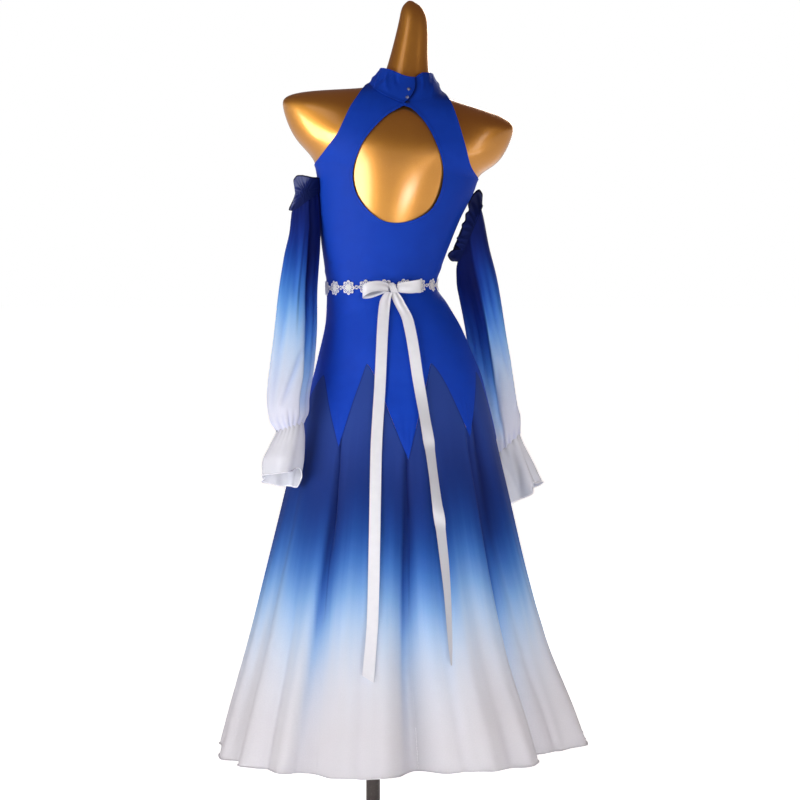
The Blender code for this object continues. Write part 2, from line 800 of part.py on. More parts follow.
# ---------------------------------------------------------------- sleeves, frills and ruffles
def tube_surface(rings, waves=0, wave_depth=0.0, wave_from=0.0, wave_to=1.0):
    """A soft tube through tilted rings; its lengthwise waves grow from one height to another."""

    def surface(angle, height):
        x, y, half, depth, tilt = row_at(rings, height / MM)
        turn = math.radians(angle)
        reach = (height - wave_from) / (wave_to - wave_from)
        swell = 1 + wave_depth * max(0.0, min(1.0, reach)) * math.sin(waves * turn)
        across = half * MM * math.sin(turn) * swell
        lean = math.radians(tilt)
        return Vector((
            x * MM + across * math.cos(lean),
            y * MM - depth * MM * math.cos(turn) * swell,
            height + across * math.sin(lean),
        ))

    return surface


def tube_sheet(columns, heights):
    """A flat sheet that will be joined into a tube, with a row at each height."""
    sheet = bmesh.new()
    lay_grid(
        sheet, columns, len(heights) - 1, lambda c, r: (360.0 * c / columns, heights[r] * MM)
    )
    return sheet


def make_sleeve(side, rings, frill_rings, ruffle_height):
    """A loose sleeve with its gathered frill at the wrist and a ruffle round its open top."""
    heights = [row[0] for row in reversed(rings)]
    top, foot = heights[0] * MM, heights[-1] * MM
    surface = tube_surface(rings, SLEEVE_CREASES, SLEEVE_CREASE_DEPTH, foot, mix(foot, top, 0.2))
    sheet = tube_sheet(SLEEVE_COLUMNS, heights)
    cloth(f"sleeve_{side}", sheet, surface, -CHIFFON, 0.0, "ombre_chiffon", True)

    frill_heights = [row[0] for row in reversed(frill_rings)]
    rim = frill_heights[-1] * MM
    frill = tube_surface(
        frill_rings, FRILL_WAVES, FRILL_WAVE_DEPTH, frill_heights[0] * MM, rim
    )
    sheet = tube_sheet(FRILL_COLUMNS, frill_heights)
    cloth(f"sleeve_frill_{side}", sheet, frill, -CHIFFON, 0.0, "white_chiffon", True)

    x, y, half, depth, tilt = rings[-1][1:]
    lean = math.radians(tilt)
    axis = Vector((-math.sin(lean), 0.0, math.cos(lean)))
    centre = Vector((x * MM, y * MM, rings[-1][0] * MM))

    def ruffle(angle, climb):
        turn = math.radians(angle)
        flare = climb * (RUFFLE_FLARE + RUFFLE_WAVE_DEPTH * math.sin(RUFFLE_WAVES * turn))
        across = (half * MM + flare) * math.sin(turn)
        around = Vector((across * math.cos(lean), 0.0, across * math.sin(lean)))
        around.y = -(depth * MM + flare) * math.cos(turn)
        return centre + around + axis * (RUFFLE_GAP + ruffle_height * climb)

    sheet = bmesh.new()
    lay_grid(sheet, RUFFLE_COLUMNS, 1, lambda c, r: (360.0 * c / RUFFLE_COLUMNS, 1.0 - r))
    cloth(f"sleeve_ruffle_{side}", sheet, ruffle, -CHIFFON, 0.0, "navy_chiffon", True)


make_sleeve("left", LEFT_SLEEVE, LEFT_FRILL, LEFT_RUFFLE_HEIGHT)
make_sleeve("right", RIGHT_SLEEVE, RIGHT_FRILL, RIGHT_RUFFLE_HEIGHT)


# ---------------------------------------------------------------- lace belt and ribbon bow
def make_belt():
    """A scalloped band of lace round the waist, a scallop for each flower."""
    columns = DAISY_COUNT * BELT_COLUMNS_PER_DAISY

    def pattern(column, row):
        angle = 360.0 * column / columns
        petal = abs(math.sin(math.pi * column / BELT_COLUMNS_PER_DAISY + math.pi / 4))
        half_height = BELT_HALF_HEIGHT - BELT_SCALLOP * (1 - petal)
        rise = BELT_RISE * math.sin(math.radians(angle))
        return angle, WAIST + rise + half_height * (1 - 2 * row)

    sheet = bmesh.new()
    lay_grid(sheet, columns, 1, pattern)
    inner = BODICE_OUT + BELT_OFF
    cloth("belt_trim", sheet, body, inner, inner + LACE, "white_lace", True)


make_belt()

BELT_FACE = BODICE_OUT + BELT_OFF + LACE
bow_seat = moved_out(body, BOW_ANGLE, BOW_HEIGHT, BELT_FACE + BOW_KNOT_OFF)
bow_normal = bow_seat - body(BOW_ANGLE, BOW_HEIGHT)
bow_normal.z = 0.0
bow_normal.normalize()
bow_side = UP.cross(bow_normal)
bow_centre = bow_seat + bow_normal * (BOW_KNOT["depth"] / 2)


def bow_point(side, outward, up):
    return bow_centre + bow_side * side + bow_normal * outward + UP * up


def make_knot():
    """The ribbon's knot, a soft block over the belt."""
    bm = bmesh.new()
    bmesh.ops.create_cube(bm, size=1.0)
    bmesh.ops.bevel(bm, geom=bm.edges[:], offset=0.22, segments=2, affect="EDGES", profile=0.5)
    for vert in bm.verts:
        side, outward, up = vert.co
        vert.co = bow_point(
            side * BOW_KNOT["width"], outward * BOW_KNOT["depth"], up * BOW_KNOT["height"]
        )
    add_part("bow_knot", bm, "white_satin")


def make_bow_loop(name, side, reach, narrow, wide, droop, opening):
    """A ribbon bent out from the knot and back, with its hollow open above and below."""
    sheet = bmesh.new()
    lay_grid(sheet, BOW_LOOP_COLUMNS, 1, lambda c, r: (360.0 * c / BOW_LOOP_COLUMNS, 0.5 - r))

    def loop(angle, share):
        turn = math.radians(angle)
        out_share = (1 - math.cos(turn)) / 2
        width = mix(narrow, wide, math.sin(out_share * math.pi / 2)) * MM
        along = BOW_KNOT["width"] / 2 + TOUCH_GAP + RIBBON + reach * MM * out_share
        lean = opening * MM * math.sin(turn) * mix(BOW_LOOP_ROOT, 1.0, out_share)
        up = width * share - droop * MM * out_share**2
        return bow_point(side * along, lean + BOW_LOOP_OFF, up)

    cloth(name, sheet, loop, -RIBBON / 2, RIBBON / 2, "white_satin", True)


def make_tail(name, rows, cut):
    """A ribbon hanging from the knot down the skirt, a little off the cloth, its end cut aslant."""
    end, top = rows[0][0], rows[-1][0]
    sheet = bmesh.new()
    lay_grid(sheet, 1, TAIL_STEPS, lambda c, r: (float(c), mix(top, end, r / TAIL_STEPS) * MM))

    def ribbon(share, height):
        x, off, width, turn_angle = row_at(rows, height / MM)
        centre, half = row_at(BODY, height / MM)[:2]
        angle = math.degrees(math.asin((x - centre) / half))
        spine = moved_out(body, angle, height, BODICE_OUT + off * MM)
        turn = math.radians(turn_angle)
        across = Vector((math.cos(turn), math.sin(turn), 0.0)) * (width * MM)
        slant = cut * MM * max(0.0, 1 - (height / MM - end) / TAIL_CUT_REACH)
        return spine + (across + UP * slant) * (share - 0.5)

    cloth(name, sheet, ribbon, 0.0, RIBBON, "white_satin")


make_knot()
for loop_name, loop_sizes in BOW_LOOPS.items():
    make_bow_loop(loop_name, *loop_sizes)
make_tail("ribbon_tail_left", LEFT_TAIL, LEFT_TAIL_CUT)
make_tail("ribbon_tail_right", RIGHT_TAIL, RIGHT_TAIL_CUT)


# ---------------------------------------------------------------- dress form and stand
def make_form():
    """One smooth solid: trunk, cap shoulders and neck post, closed plainly under the hips."""
    trunk = [row for row in BODY if FORM_TRUNK_FOOT < row[0] < FORM_SHOULDER_HEIGHTS[-1]]
    rings = list(FORM_FOOT) + trunk + list(FORM_NECK)
    heights = [row[0] for row in FORM_FOOT + FORM_NECK]
    heights += list(TRUNK_HEIGHTS) + list(FORM_SHOULDER_HEIGHTS) + [FORM_TRUNK_FOOT]
    heights.sort(reverse=True)
    form = bmesh.new()
    lay_grid(
        form,
        FORM_COLUMNS,
        len(heights) - 1,
        lambda c, r: (360.0 * c / FORM_COLUMNS, heights[r] * MM),
    )
    for vert in form.verts:
        vert.co = ring_point(rings, vert.co.x, vert.co.y, FORM_EASE)
    bmesh.ops.remove_doubles(form, verts=form.verts[:], dist=1e-5)
    bmesh.ops.holes_fill(form, edges=[e for e in form.edges if e.is_boundary], sides=0)
    add_part("form_torso", form, "gold_gloss")


def make_turned(name, profile, finish_name, segments=48):
    """A turned solid from its outer profile, top to bottom, as radius and height."""
    mesh = bpy.data.meshes.new(name)
    points = [(radius, 0.0, height) for radius, height in profile]
    edges = [(index, index + 1) for index in range(len(points) - 1)]
    mesh.from_pydata(points, edges, [])
    mesh.materials.append(finish(finish_name))
    part = bpy.data.objects.new(name, mesh)
    parts.objects.link(part)
    screw = part.modifiers.new("turn", "SCREW")
    screw.steps = screw.render_steps = segments
    screw.use_merge_vertices = True
    screw.merge_threshold = 0.05 * MM
    return part


make_form()
form_foot = FORM_FOOT[0][0] * MM - TOUCH_GAP
socket_foot = form_foot - SOCKET_HEIGHT
pole_foot = BASE_HEIGHT + FLANGE_HEIGHT + TOUCH_GAP
make_turned(
    "pole_socket",
    (
        (0, form_foot),
        (SOCKET_RADIUS, form_foot),
        (SOCKET_RADIUS, socket_foot + EDGE_SLOPE),
        (SOCKET_RADIUS - EDGE_SLOPE, socket_foot),
        (0, socket_foot),
    ),
    "brown_metal",
)
pole_top = socket_foot - TOUCH_GAP
make_turned(
    "stand_pole",
    ((0, pole_top), (POLE_RADIUS, pole_top), (POLE_RADIUS, pole_foot), (0, pole_foot)),
    "brown_metal",
)
make_turned(
    "stand_base",
    (
        (0, BASE_HEIGHT + FLANGE_HEIGHT),
        (POLE_RADIUS + EDGE_SLOPE, BASE_HEIGHT + FLANGE_HEIGHT),
        (FLANGE_RADIUS, BASE_HEIGHT),
        (BASE_RADIUS - 3 * BASE_RIM, BASE_RIM + BASE_RIM / 2),
        (BASE_RADIUS, BASE_RIM),
        (BASE_RADIUS, 0),
        (0, 0),
    ),
    "brown_metal",
)
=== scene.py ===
"""A ballroom dance dress on a limbless dress form: its cloth, trims, form and stand, in a studio."""
import math

import bpy
import numpy as np
from mathutils import Matrix, Vector


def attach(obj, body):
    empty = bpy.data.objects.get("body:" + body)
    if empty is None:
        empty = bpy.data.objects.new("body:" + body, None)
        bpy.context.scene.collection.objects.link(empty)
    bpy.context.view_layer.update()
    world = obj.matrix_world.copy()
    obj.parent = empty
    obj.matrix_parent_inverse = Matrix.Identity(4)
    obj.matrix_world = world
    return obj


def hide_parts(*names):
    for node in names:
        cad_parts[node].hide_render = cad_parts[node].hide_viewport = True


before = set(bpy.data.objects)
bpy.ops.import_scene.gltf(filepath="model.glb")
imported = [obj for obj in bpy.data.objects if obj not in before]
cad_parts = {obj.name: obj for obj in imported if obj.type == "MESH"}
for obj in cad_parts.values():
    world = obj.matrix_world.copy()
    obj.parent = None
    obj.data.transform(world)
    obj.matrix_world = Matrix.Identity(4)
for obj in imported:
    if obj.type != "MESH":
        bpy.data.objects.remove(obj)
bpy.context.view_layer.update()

MM = 0.001
bpy.ops.object.select_all(action="DESELECT")


# ---------------------------------------------------------------- camera, floor and light
# A long lens looks from behind the dress, a little downwards. Seven soft lamps stand round it, the
# strongest on the left and beyond it, in a studio whose walls and floor the camera sees as white.
EYE = (0.054, -5.0, 1.12)
LENS = 113.0
LOOK_DOWN = 2.70
FLOOR_SIZE = 200.0
FLOOR_GLOW = 0.92
FLOOR_LIGHT = 0.42
# The walls are bright low down, and dark and warm higher up and on the right.
BRIGHT_WALL, DARK_WALL = (0.72, 0.72, 0.74), (0.14, 0.09, 0.08)
DARK_ABOVE, DARK_RIGHT = (-0.05, 0.20), (0.10, 0.75)
# Lamps: place, the point that they face, width, height, watts, spread in degrees, colour.
LAMPS = {
    "key_lamp": ((-3.6, -2.2, 0.84), (0.0, 0.0, 0.95), 2.3, 1.7, 69.0, 180, (1.0, 0.99, 0.985)),
    "back_lamp": ((-3.2, -4.3, 0.80), (-0.02, 0.0, 1.02), 2.4, 1.8, 3.1, 32, (1.0, 0.995, 0.99)),
    "hem_lamp": ((1.3, -4.2, 0.38), (0.16, 0.0, 0.46), 1.6, 0.7, 2.5, 24, (1.0, 0.995, 0.99)),
    "fill_lamp": ((2.6, -1.6, 0.30), (0.15, 0.0, 0.30), 0.6, 1.0, 0.6, 40, (1.0, 0.99, 0.98)),
    "shoulder_lamp": ((-2.4, -2.6, 3.1), (-0.1, 0.0, 1.42), 1.6, 0.7, 3.0, 180, (1.0, 0.99, 0.98)),
    "patch_lamp": ((3.3, -2.3, 1.45), (0.05, 0.0, 1.42), 0.4, 1.2, 4.0, 180, (1.0, 0.99, 0.98)),
    "front_lamp": ((1.6, 3.8, 2.4), (0.0, 0.0, 0.9), 2.2, 2.2, 50.0, 180, (1.0, 1.0, 1.0)),
}

bpy.ops.object.camera_add(location=EYE, rotation=(math.radians(90.0 - LOOK_DOWN), 0.0, 0.0))
camera = bpy.context.object
camera.data.lens = LENS
bpy.context.scene.camera = camera
bpy.context.scene.view_settings.view_transform = "Standard"

for lamp_name, (place, target, width, height, watts, spread, colour) in LAMPS.items():
    bpy.ops.object.light_add(type="AREA", location=place)
    lamp = bpy.context.object
    lamp.name = lamp_name
    lamp.rotation_euler = (Vector(target) - Vector(place)).to_track_quat("-Z", "Y").to_euler()
    lamp.data.shape = "RECTANGLE"
    lamp.data.size, lamp.data.size_y = width, height
    lamp.data.energy = watts
    lamp.data.spread = math.radians(spread)
    lamp.data.color = colour


def add_node(tree, kind, sockets=(), **settings):
    """A shader node with its settings; each input takes a value or a link from another's output."""
    made = tree.nodes.new("ShaderNode" + kind)
    for name, value in settings.items():
        setattr(made, name, value)
    for socket, value in dict(sockets).items():
        if isinstance(value, bpy.types.NodeSocket):
            tree.links.new(value, made.inputs[socket])
        else:
            made.inputs[socket].default_value = value
    return made


def math_node(tree, operation, first, second=0.0):
    """The output of a Math node on two values, given or linked."""
    return add_node(tree, "Math", {0: first, 1: second}, operation=operation).outputs[0]


def ranged(tree, value, start=(0.0, 1.0), to=(0.0, 1.0)):
    """The output of a Map Range node: a value carried from one range to another."""
    ends = {"From Min": start[0], "From Max": start[1], "To Min": to[0], "To Max": to[1]}
    return add_node(tree, "MapRange", {"Value": value, **ends}).outputs["Result"]


def new_material(name, **constants):
    """A material, its node tree and its Principled shader with the given constant inputs."""
    made = bpy.data.materials.new(name)
    made.use_nodes = True
    shader = made.node_tree.nodes["Principled BSDF"]
    for socket, value in constants.items():
        shader.inputs[socket.replace("_", " ")].default_value = value
    return made, made.node_tree, shader


def mix_colour(tree, factor, first, second, blend="MIX"):
    """The colour output of a Mix node between two colours, given or linked."""
    first, second = (
        colour if isinstance(colour, bpy.types.NodeSocket) else (*colour, 1.0) for colour in (first, second)
    )
    sockets = {"Factor": factor, 6: first, 7: second}
    return add_node(tree, "Mix", sockets, data_type="RGBA", blend_type=blend).outputs[2]


world = bpy.data.worlds.new("white_studio")
bpy.context.scene.world = world
world.use_nodes = True
walls = world.node_tree.nodes["Background"]
to_camera = add_node(world.node_tree, "LightPath").outputs["Is Camera Ray"]
direction = add_node(world.node_tree, "TexCoord").outputs["Generated"]
direction = add_node(world.node_tree, "SeparateXYZ", {"Vector": direction})
above = ranged(world.node_tree, direction.outputs["Z"], DARK_ABOVE)
beside = ranged(world.node_tree, direction.outputs["X"], DARK_RIGHT)
darkness = math_node(world.node_tree, "MAXIMUM", above, beside)
wall_light = mix_colour(world.node_tree, darkness, BRIGHT_WALL, DARK_WALL)
wall_light = mix_colour(world.node_tree, to_camera, wall_light, (1.0, 1.0, 1.0))
world.node_tree.links.new(wall_light, walls.inputs["Color"])

bpy.ops.mesh.primitive_plane_add(size=FLOOR_SIZE)
floor = bpy.context.object
floor.name = "studio_floor"
white_floor, tree, shader = new_material(
    "white_floor",
    Base_Color=(0.9, 0.9, 0.9, 1.0),
    Roughness=0.9,
    Emission_Color=(1.0, 1.0, 1.0, 1.0),
)
seen = add_node(tree, "LightPath").outputs["Is Camera Ray"]
floor_glow = add_node(tree, "Mix", {0: seen, 2: FLOOR_LIGHT, 3: FLOOR_GLOW})
tree.links.new(floor_glow.outputs[0], shader.inputs["Emission Strength"])
floor.data.materials.append(white_floor)


# ---------------------------------------------------------------- pole stand
# A steel tube on a weighted round plate, with a socket for the dress form. All are painted dark
# brown, with cloudy patches and fine scuffs in the paint.
STAND_PIECES = {"stand_base": "stand_plate", "stand_pole": "stand_tube", "pole_socket": "stand_socket"}
STAND_EDGE = 1.2 * MM


def copy_of_mesh(mesh, name):
    """A new piece on its own copy of a mesh."""
    piece = bpy.data.objects.new(name, mesh.copy())
    bpy.context.scene.collection.objects.link(piece)
    return piece


def copy_of_node(node, name):
    """A new piece from a CAD node, with its loose triangles joined into one mesh."""
    piece = copy_of_mesh(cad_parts[node].data, name)
    bpy.ops.object.select_all(action="DESELECT")
    bpy.context.view_layer.objects.active = piece
    piece.select_set(True)
    piece.data.materials.clear()
    bpy.ops.mesh.customdata_custom_splitnormals_clear()
    bpy.ops.object.mode_set(mode="EDIT")
    bpy.ops.mesh.select_all(action="SELECT")
    bpy.ops.mesh.remove_doubles(threshold=0.02 * MM)
    bpy.ops.object.mode_set(mode="OBJECT")
    return piece


def use_modifier(piece, kind, **settings):
    """Adds a modifier to a piece and applies it."""
    modifier = piece.modifiers.new(kind.lower(), kind)
    for name, value in settings.items():
        setattr(modifier, name, value)
    bpy.context.view_layer.objects.active = piece
    bpy.ops.object.modifier_apply(modifier=modifier.name)


def hand_in(piece, material, slot, *nodes):
    """Gives a finished piece its material and its body, and hides the nodes it stands for; its slot is not
    used.
    """
    piece.data.materials.clear()
    piece.data.materials.append(material)
    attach(piece, "root")
    if nodes:
        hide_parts(*nodes)


def new_group(name, inputs, outputs):
    """A shader node group with named sockets, and its two ends."""
    group = bpy.data.node_groups.new(name, "ShaderNodeTree")
    for direction, sockets in (("INPUT", inputs), ("OUTPUT", outputs)):
        for socket, kind in sockets.items():
            group.interface.new_socket(socket, in_out=direction, socket_type="NodeSocket" + kind)
    return group, group.nodes.new("NodeGroupInput"), group.nodes.new("NodeGroupOutput")


def use_group(tree, group, sockets):
    """A node group placed in a tree, with its inputs set or linked."""
    return add_node(tree, "Group", sockets, node_tree=group)


def finish_shader(tree, shader, colour, grain, roughness, height=None, distance=0.0, strength=1.0):
    """Links a colour, a roughness that follows a grain over its range, and bump from a height."""
    tree.links.new(colour, shader.inputs["Base Color"])
    tree.links.new(ranged(tree, grain, to=roughness), shader.inputs["Roughness"])
    if height is not None:
        bump = add_node(tree, "Bump", {"Height": height, "Distance": distance, "Strength": strength})
        tree.links.new(bump.outputs["Normal"], shader.inputs["Normal"])


uneven_coat, coat_in, coat_out = new_group(
    "uneven_coat",
    {"Coordinate": "Vector", "Patch Scale": "Float", "Speck Scale": "Float"},
    {"Patches": "Float", "Specks": "Float"},
)
for output, scale, detail, low, high in (
    ("Patches", "Patch Scale", 4.0, 0.3, 0.7),
    ("Specks", "Speck Scale", 2.0, 0.62, 0.72),
):
    cloud = add_node(
        uneven_coat,
        "TexNoise",
        {"Vector": coat_in.outputs["Coordinate"], "Scale": coat_in.outputs[scale], "Detail": detail},
    )
    uneven_coat.links.new(ranged(uneven_coat, cloud.outputs["Fac"], (low, high)), coat_out.inputs[output])


def coated(tree, patch_scale, speck_scale):
    """The patches and the specks of an uneven coat, at these scales."""
    place = add_node(tree, "TexCoord").outputs["Object"]
    scales = {"Patch Scale": patch_scale, "Speck Scale": speck_scale}
    coat = use_group(tree, uneven_coat, {"Coordinate": place, **scales})
    return coat.outputs["Patches"], coat.outputs["Specks"]


brown_paint, tree, shader = new_material("brown_paint", Metallic=0.3, Coat_Weight=0.25)
patches, specks = coated(tree, 9.0, 420.0)
paint = mix_colour(tree, patches, (0.040, 0.031, 0.028), (0.080, 0.064, 0.058))
paint = mix_colour(tree, math_node(tree, "MULTIPLY", specks, 0.5), paint, (0.2, 0.18, 0.17))
finish_shader(tree, shader, paint, patches, (0.34, 0.52), specks, 0.05 * MM)

for node, name in STAND_PIECES.items():
    stand_piece = copy_of_node(node, name)
    bpy.ops.object.mode_set(mode="EDIT")
    bpy.ops.mesh.dissolve_limited(angle_limit=math.radians(1.0))
    bpy.ops.object.mode_set(mode="OBJECT")
    use_modifier(stand_piece, "BEVEL", width=STAND_EDGE, segments=3, angle_limit=math.radians(25))
    bpy.ops.object.shade_smooth_by_angle(angle=math.radians(30))
    hand_in(stand_piece, brown_paint, "stand_metal", node)


# ---------------------------------------------------------------- dress form
# A moulded shell with cap shoulders and a horn-shaped neck post, in gold lacquer: a dark metallic
# base under a clear gloss coat, with a faint orange-peel ripple.
form = copy_of_node("form_torso", "gold_dress_form")
bpy.ops.object.mode_set(mode="EDIT")
bpy.ops.mesh.select_all(action="SELECT")
bpy.ops.mesh.tris_convert_to_quads(
    face_threshold=math.radians(60), shape_threshold=math.radians(120)
)
bpy.ops.object.mode_set(mode="OBJECT")
use_modifier(form, "SUBSURF", levels=2, render_levels=2)
use_modifier(form, "SMOOTH", factor=0.5, iterations=6)
bpy.ops.object.shade_smooth()

gold_lacquer, tree, shader = new_material(
    "gold_lacquer", Metallic=0.92, Coat_Weight=1.0, Coat_Roughness=0.16, Coat_IOR=1.6
)
patches, specks = coated(tree, 5.0, 900.0)
gold = mix_colour(tree, patches, (0.74, 0.315, 0.042), (0.84, 0.395, 0.060))
gold = mix_colour(tree, specks, gold, (0.84, 0.43, 0.09))
place = add_node(tree, "TexCoord").outputs["Object"]
ripple = add_node(tree, "TexNoise", {"Vector": place, "Scale": 160.0, "Detail": 1.0}).outputs["Fac"]
finish_shader(tree, shader, gold, patches, (0.32, 0.40), ripple, 0.25 * MM, 0.35)
hand_in(form, gold_lacquer, "form_gold", "form_torso")


# ---------------------------------------------------------------- jersey bodice
# Two halves of royal-blue stretch jersey, in one from the neck seam down to long pointed fingers
# over the hips. The edges of the halter and of the keyhole are turned in and stitched down.
# Angles run round the body in degrees: 0 is the centre back (-Y), 90 the side at +X.
# The body's rings: height, centre in X, half width, depth behind, depth in front, tilt.
BODY = (
    (180, 60, 377, 375, 375, -2.0), (260, 56, 351, 348, 346, -1.8), (404, 48, 300, 295, 290, -1.2),
    (548, 46, 260, 248, 242, -0.6), (692, 47, 224, 203, 196, 0.0), (788, 47, 200, 171, 163, 0.0),
    (884, 48, 178, 139, 130, 0.0), (928, 49, 166, 126, 117, 0.0), (980, 45, 149, 116, 108, 0.0),
    (1028, 40, 133, 104, 99, 0.0), (1076, 28, 117, 90, 92, 0.0), (1112, 17, 106, 82, 88, 0.0),
    (1148, 20, 113, 84, 92, 0.0), (1200, 26, 126, 92, 106, 0.5), (1250, 34, 137, 99, 122, 2.0),
    (1316, 46, 154, 104, 118, 4.5), (1340, 47, 161, 105, 114, 5.2), (1382, 48, 206, 104, 104, 6.6),
    (1440, 50, 231, 90, 84, 6.6), (1455, 51, 233, 84, 76, 6.6), (1469, 53, 217, 77, 67, 6.6),
    (1480, 57, 180, 70, 60, 6.6), (1490, 62, 116, 64, 55, 6.6), (1497, 64, 84, 60, 52, 6.6),
    (1505, 65, 67, 56, 50, 6.6),
)
UNDERARM = 1338 * MM
NECK_SIDE = 1503 * MM
NECK_BACK = 1468 * MM
NECK_FRONT = 1482 * MM
NECK_CURVE = 1.4
# Fingers: tip angle, tip height, the angle at which the seam below reaches the hem.
FINGERS = (
    (6.5, 776, 5.5), (47.0, 817, 48.5), (90.0, 806, 90.0), (137.0, 802, 136.0), (184.0, 796, 185.0),
    (229.0, 802, 230.0), (270.0, 806, 270.0), (326.0, 799, 333.0),
)
# Godets, each just after the finger of its row: angle and height of its arch's point.
GODETS = (
    (25.5, 961), (71.0, 942), (114.0, 950), (160.0, 956), (206.0, 956), (250.0, 950), (299.0, 936),
    (338.5, 960),
)
ARCH_POWER = 0.75
# Armhole edges: height, X at the left edge, X at the right edge.
BACK_ARMHOLES = (
    (1338, -114, 208), (1365, -90, 191), (1396, -67, 182), (1420, -56, 175), (1449, -43, 166),
    (1475, -27, 156), (1487, -19, 149), (1497, -12, 142), (1503, -2, 132),
)
FRONT_ARMHOLES = (
    (1338, -114, 208), (1365, -97, 196), (1396, -78, 188), (1420, -66, 181), (1449, -52, 171),
    (1475, -31, 158), (1487, -20, 149), (1497, -13, 142), (1503, -2, 132),
)
# Keyhole: X and Z round its outline, from the point at the top.
KEYHOLE = (
    (62, 1463), (79, 1455), (104, 1428), (125, 1388), (137, 1350), (138, 1318), (130, 1286),
    (112, 1258), (80, 1240), (46, 1234), (16, 1241), (-13, 1264), (-33, 1296), (-38, 1334), (-26, 1375),
    (-7, 1407), (24, 1440), (50, 1457),
)
FORM_GAP = 1.9 * MM
JERSEY = 1.0 * MM
JERSEY_FACE = FORM_GAP + JERSEY
SEAM_GAP = 0.3 * MM
HALTER_ROWS, TRUNK_ROWS, FINGER_ROWS = 46, 64, 46
FINGER_COLUMNS, HALF_FINGER_COLUMNS = 24, 10
STRIP_SIZE = (0.07, 0.7)
EDGE_TURNED = 6 * MM
EDGE_RISE = 0.45 * MM
NEEDLE_LINE, NEEDLE_WIDTH = 5.0 * MM, 0.7 * MM
SEAM_MERGE, TUBE_MERGE = 0.004 * MM, 0.02 * MM
# The block that cuts the keyhole, from behind the back to inside the body.
KEYHOLE_BLOCK_Y, KEYHOLE_BLOCK_DEPTH = -0.145, 0.19
# Fine stretch wrinkles above the finger tips: angle from the tip, height above it, depth.
TIP_WRINKLES = (
    (-1.6, 62, 0.9),
    (0.2, 88, 1.2),
    (1.9, 54, 0.8),
    (-3.4, 92, 0.6),
    (3.9, 100, 0.7),
)
TIP_WRINKLE_WIDTH = 0.75
# Soft strains in the jersey: angle, height, half length round, half height, depth, slope.
STRAINS = (
    (32.0, 1168, 26.0, 5.0, -0.9, 0.25), (-52.0, 1158, 24.0, 5.0, -0.9, -0.22),
    (76.0, 1142, 20.0, 5.0, 1.2, 0.30), (-80.0, 1136, 20.0, 4.5, 1.2, -0.28),
    (8.0, 1216, 30.0, 7.0, -0.7, 0.05), (120.0, 1178, 26.0, 6.0, -1.1, -0.25),
    (238.0, 1172, 24.0, 6.0, -1.1, 0.25), (180.0, 1206, 34.0, 7.0, -0.8, 0.0),
    (58.0, 1064, 22.0, 6.0, -0.8, -0.2), (-40.0, 1060, 22.0, 6.0, -0.8, 0.2),
    (150.0, 1062, 22.0, 6.0, -0.8, 0.15), (214.0, 1066, 22.0, 6.0, -0.8, -0.15),
)


def rows_at(rows, key):
    """The columns of a table at each key, on a smooth curve through its rows."""
    table = np.array(rows, float)
    keys, values = table[:, 0], table[:, 1:]
    steps = np.diff(values, axis=0) / np.diff(keys)[:, None]
    before, after = steps[:-1], steps[1:]
    turning = before * after <= 0
    inner = np.where(turning, 0.0, 2 * before * after / np.where(turning, 1.0, before + after))
    slopes = np.vstack([steps[:1], inner, steps[-1:]])
    index = np.clip(np.searchsorted(keys, key) - 1, 0, len(keys) - 2)
    span = (keys[index + 1] - keys[index])[:, None]
    t = (key[:, None] - keys[index][:, None]) / span
    ease = t * t * (3 - 2 * t)
    bend = slopes[index] * t * (1 - t) ** 2 - slopes[index + 1] * t * t * (1 - t)
    return values[index] * (1 - ease) + values[index + 1] * ease + bend * span


def on_rings(rings, angle, height, inward=0.0):
    """Points on a table's rings at angles and heights, drawn in towards the middle."""
    centre, half, back, front, tilt = rows_at(rings, height / MM).T
    turn = np.radians(angle)
    depth = np.where(np.cos(turn) > 0, back, front) * MM
    kept = 1 - inward / (half * MM)
    x = half * MM * np.sin(turn) * kept
    y = -depth * np.cos(turn) * kept
    return np.stack([centre * MM + x, y, height - x * np.tan(np.radians(tilt))], axis=-1)


def on_torso(angle, height):
    return on_rings(BODY, angle, height)


def moved_out(surface, angle, height, out):
    """Points of a surface, moved out along its own normal."""
    across = surface(angle + 0.1, height) - surface(angle - 0.1, height)
    upwards = surface(angle, height + 0.2 * MM) - surface(angle, height - 0.2 * MM)
    normal = np.cross(across, upwards)
    normal /= np.linalg.norm(normal, axis=-1, keepdims=True)
    return surface(angle, height) + normal * np.reshape(out, (-1, 1))


def blend_to(start, end, share):
    return start + (end - start) * share


def near_turn(angle, near):
    """The same direction, written within half a turn of another angle."""
    return angle + 360.0 * round((near - angle) / 360.0)


def around(angle, middle):
    """Degrees from a middle angle, the short way round."""
    return (angle - middle + 180.0) % 360.0 - 180.0


def bell(offset, width):
    """A soft bump, 1 at its middle."""
    return np.exp(-((offset / width) ** 2))


def smooth_step(low, high, value):
    t = np.clip((value - low) / (high - low), 0.0, 1.0)
    return t * t * (3 - 2 * t)


def seam_angle(height, side):
    """Half a seam gap as an angle, to one side of a seam."""
    return side * np.degrees(0.5 * SEAM_GAP / (rows_at(BODY, height / MM)[:, 1] * MM))


def arch_edge(finger, godet, t):
    """Angle and height down a godet's edge, from its arch's point (0) to the finger's tip (1)."""
    tip_angle, tip_height, _ = FINGERS[finger % len(FINGERS)]
    top_angle, top_height = GODETS[godet % len(GODETS)]
    angle = blend_to(top_angle, near_turn(tip_angle, top_angle), t**ARCH_POWER)
    return angle, blend_to(top_height, tip_height, t) * MM


def finger_side(finger, side, near, t):
    """Angle and height down one side of a finger, clear of the godet beside it."""
    angle, height = arch_edge(finger, finger - 1 if side < 0 else finger, t)
    angle = angle + near_turn(angle.flat[0], near) - angle.flat[0]
    return angle + np.where(t > 0, seam_angle(height, -side), 0.0), height


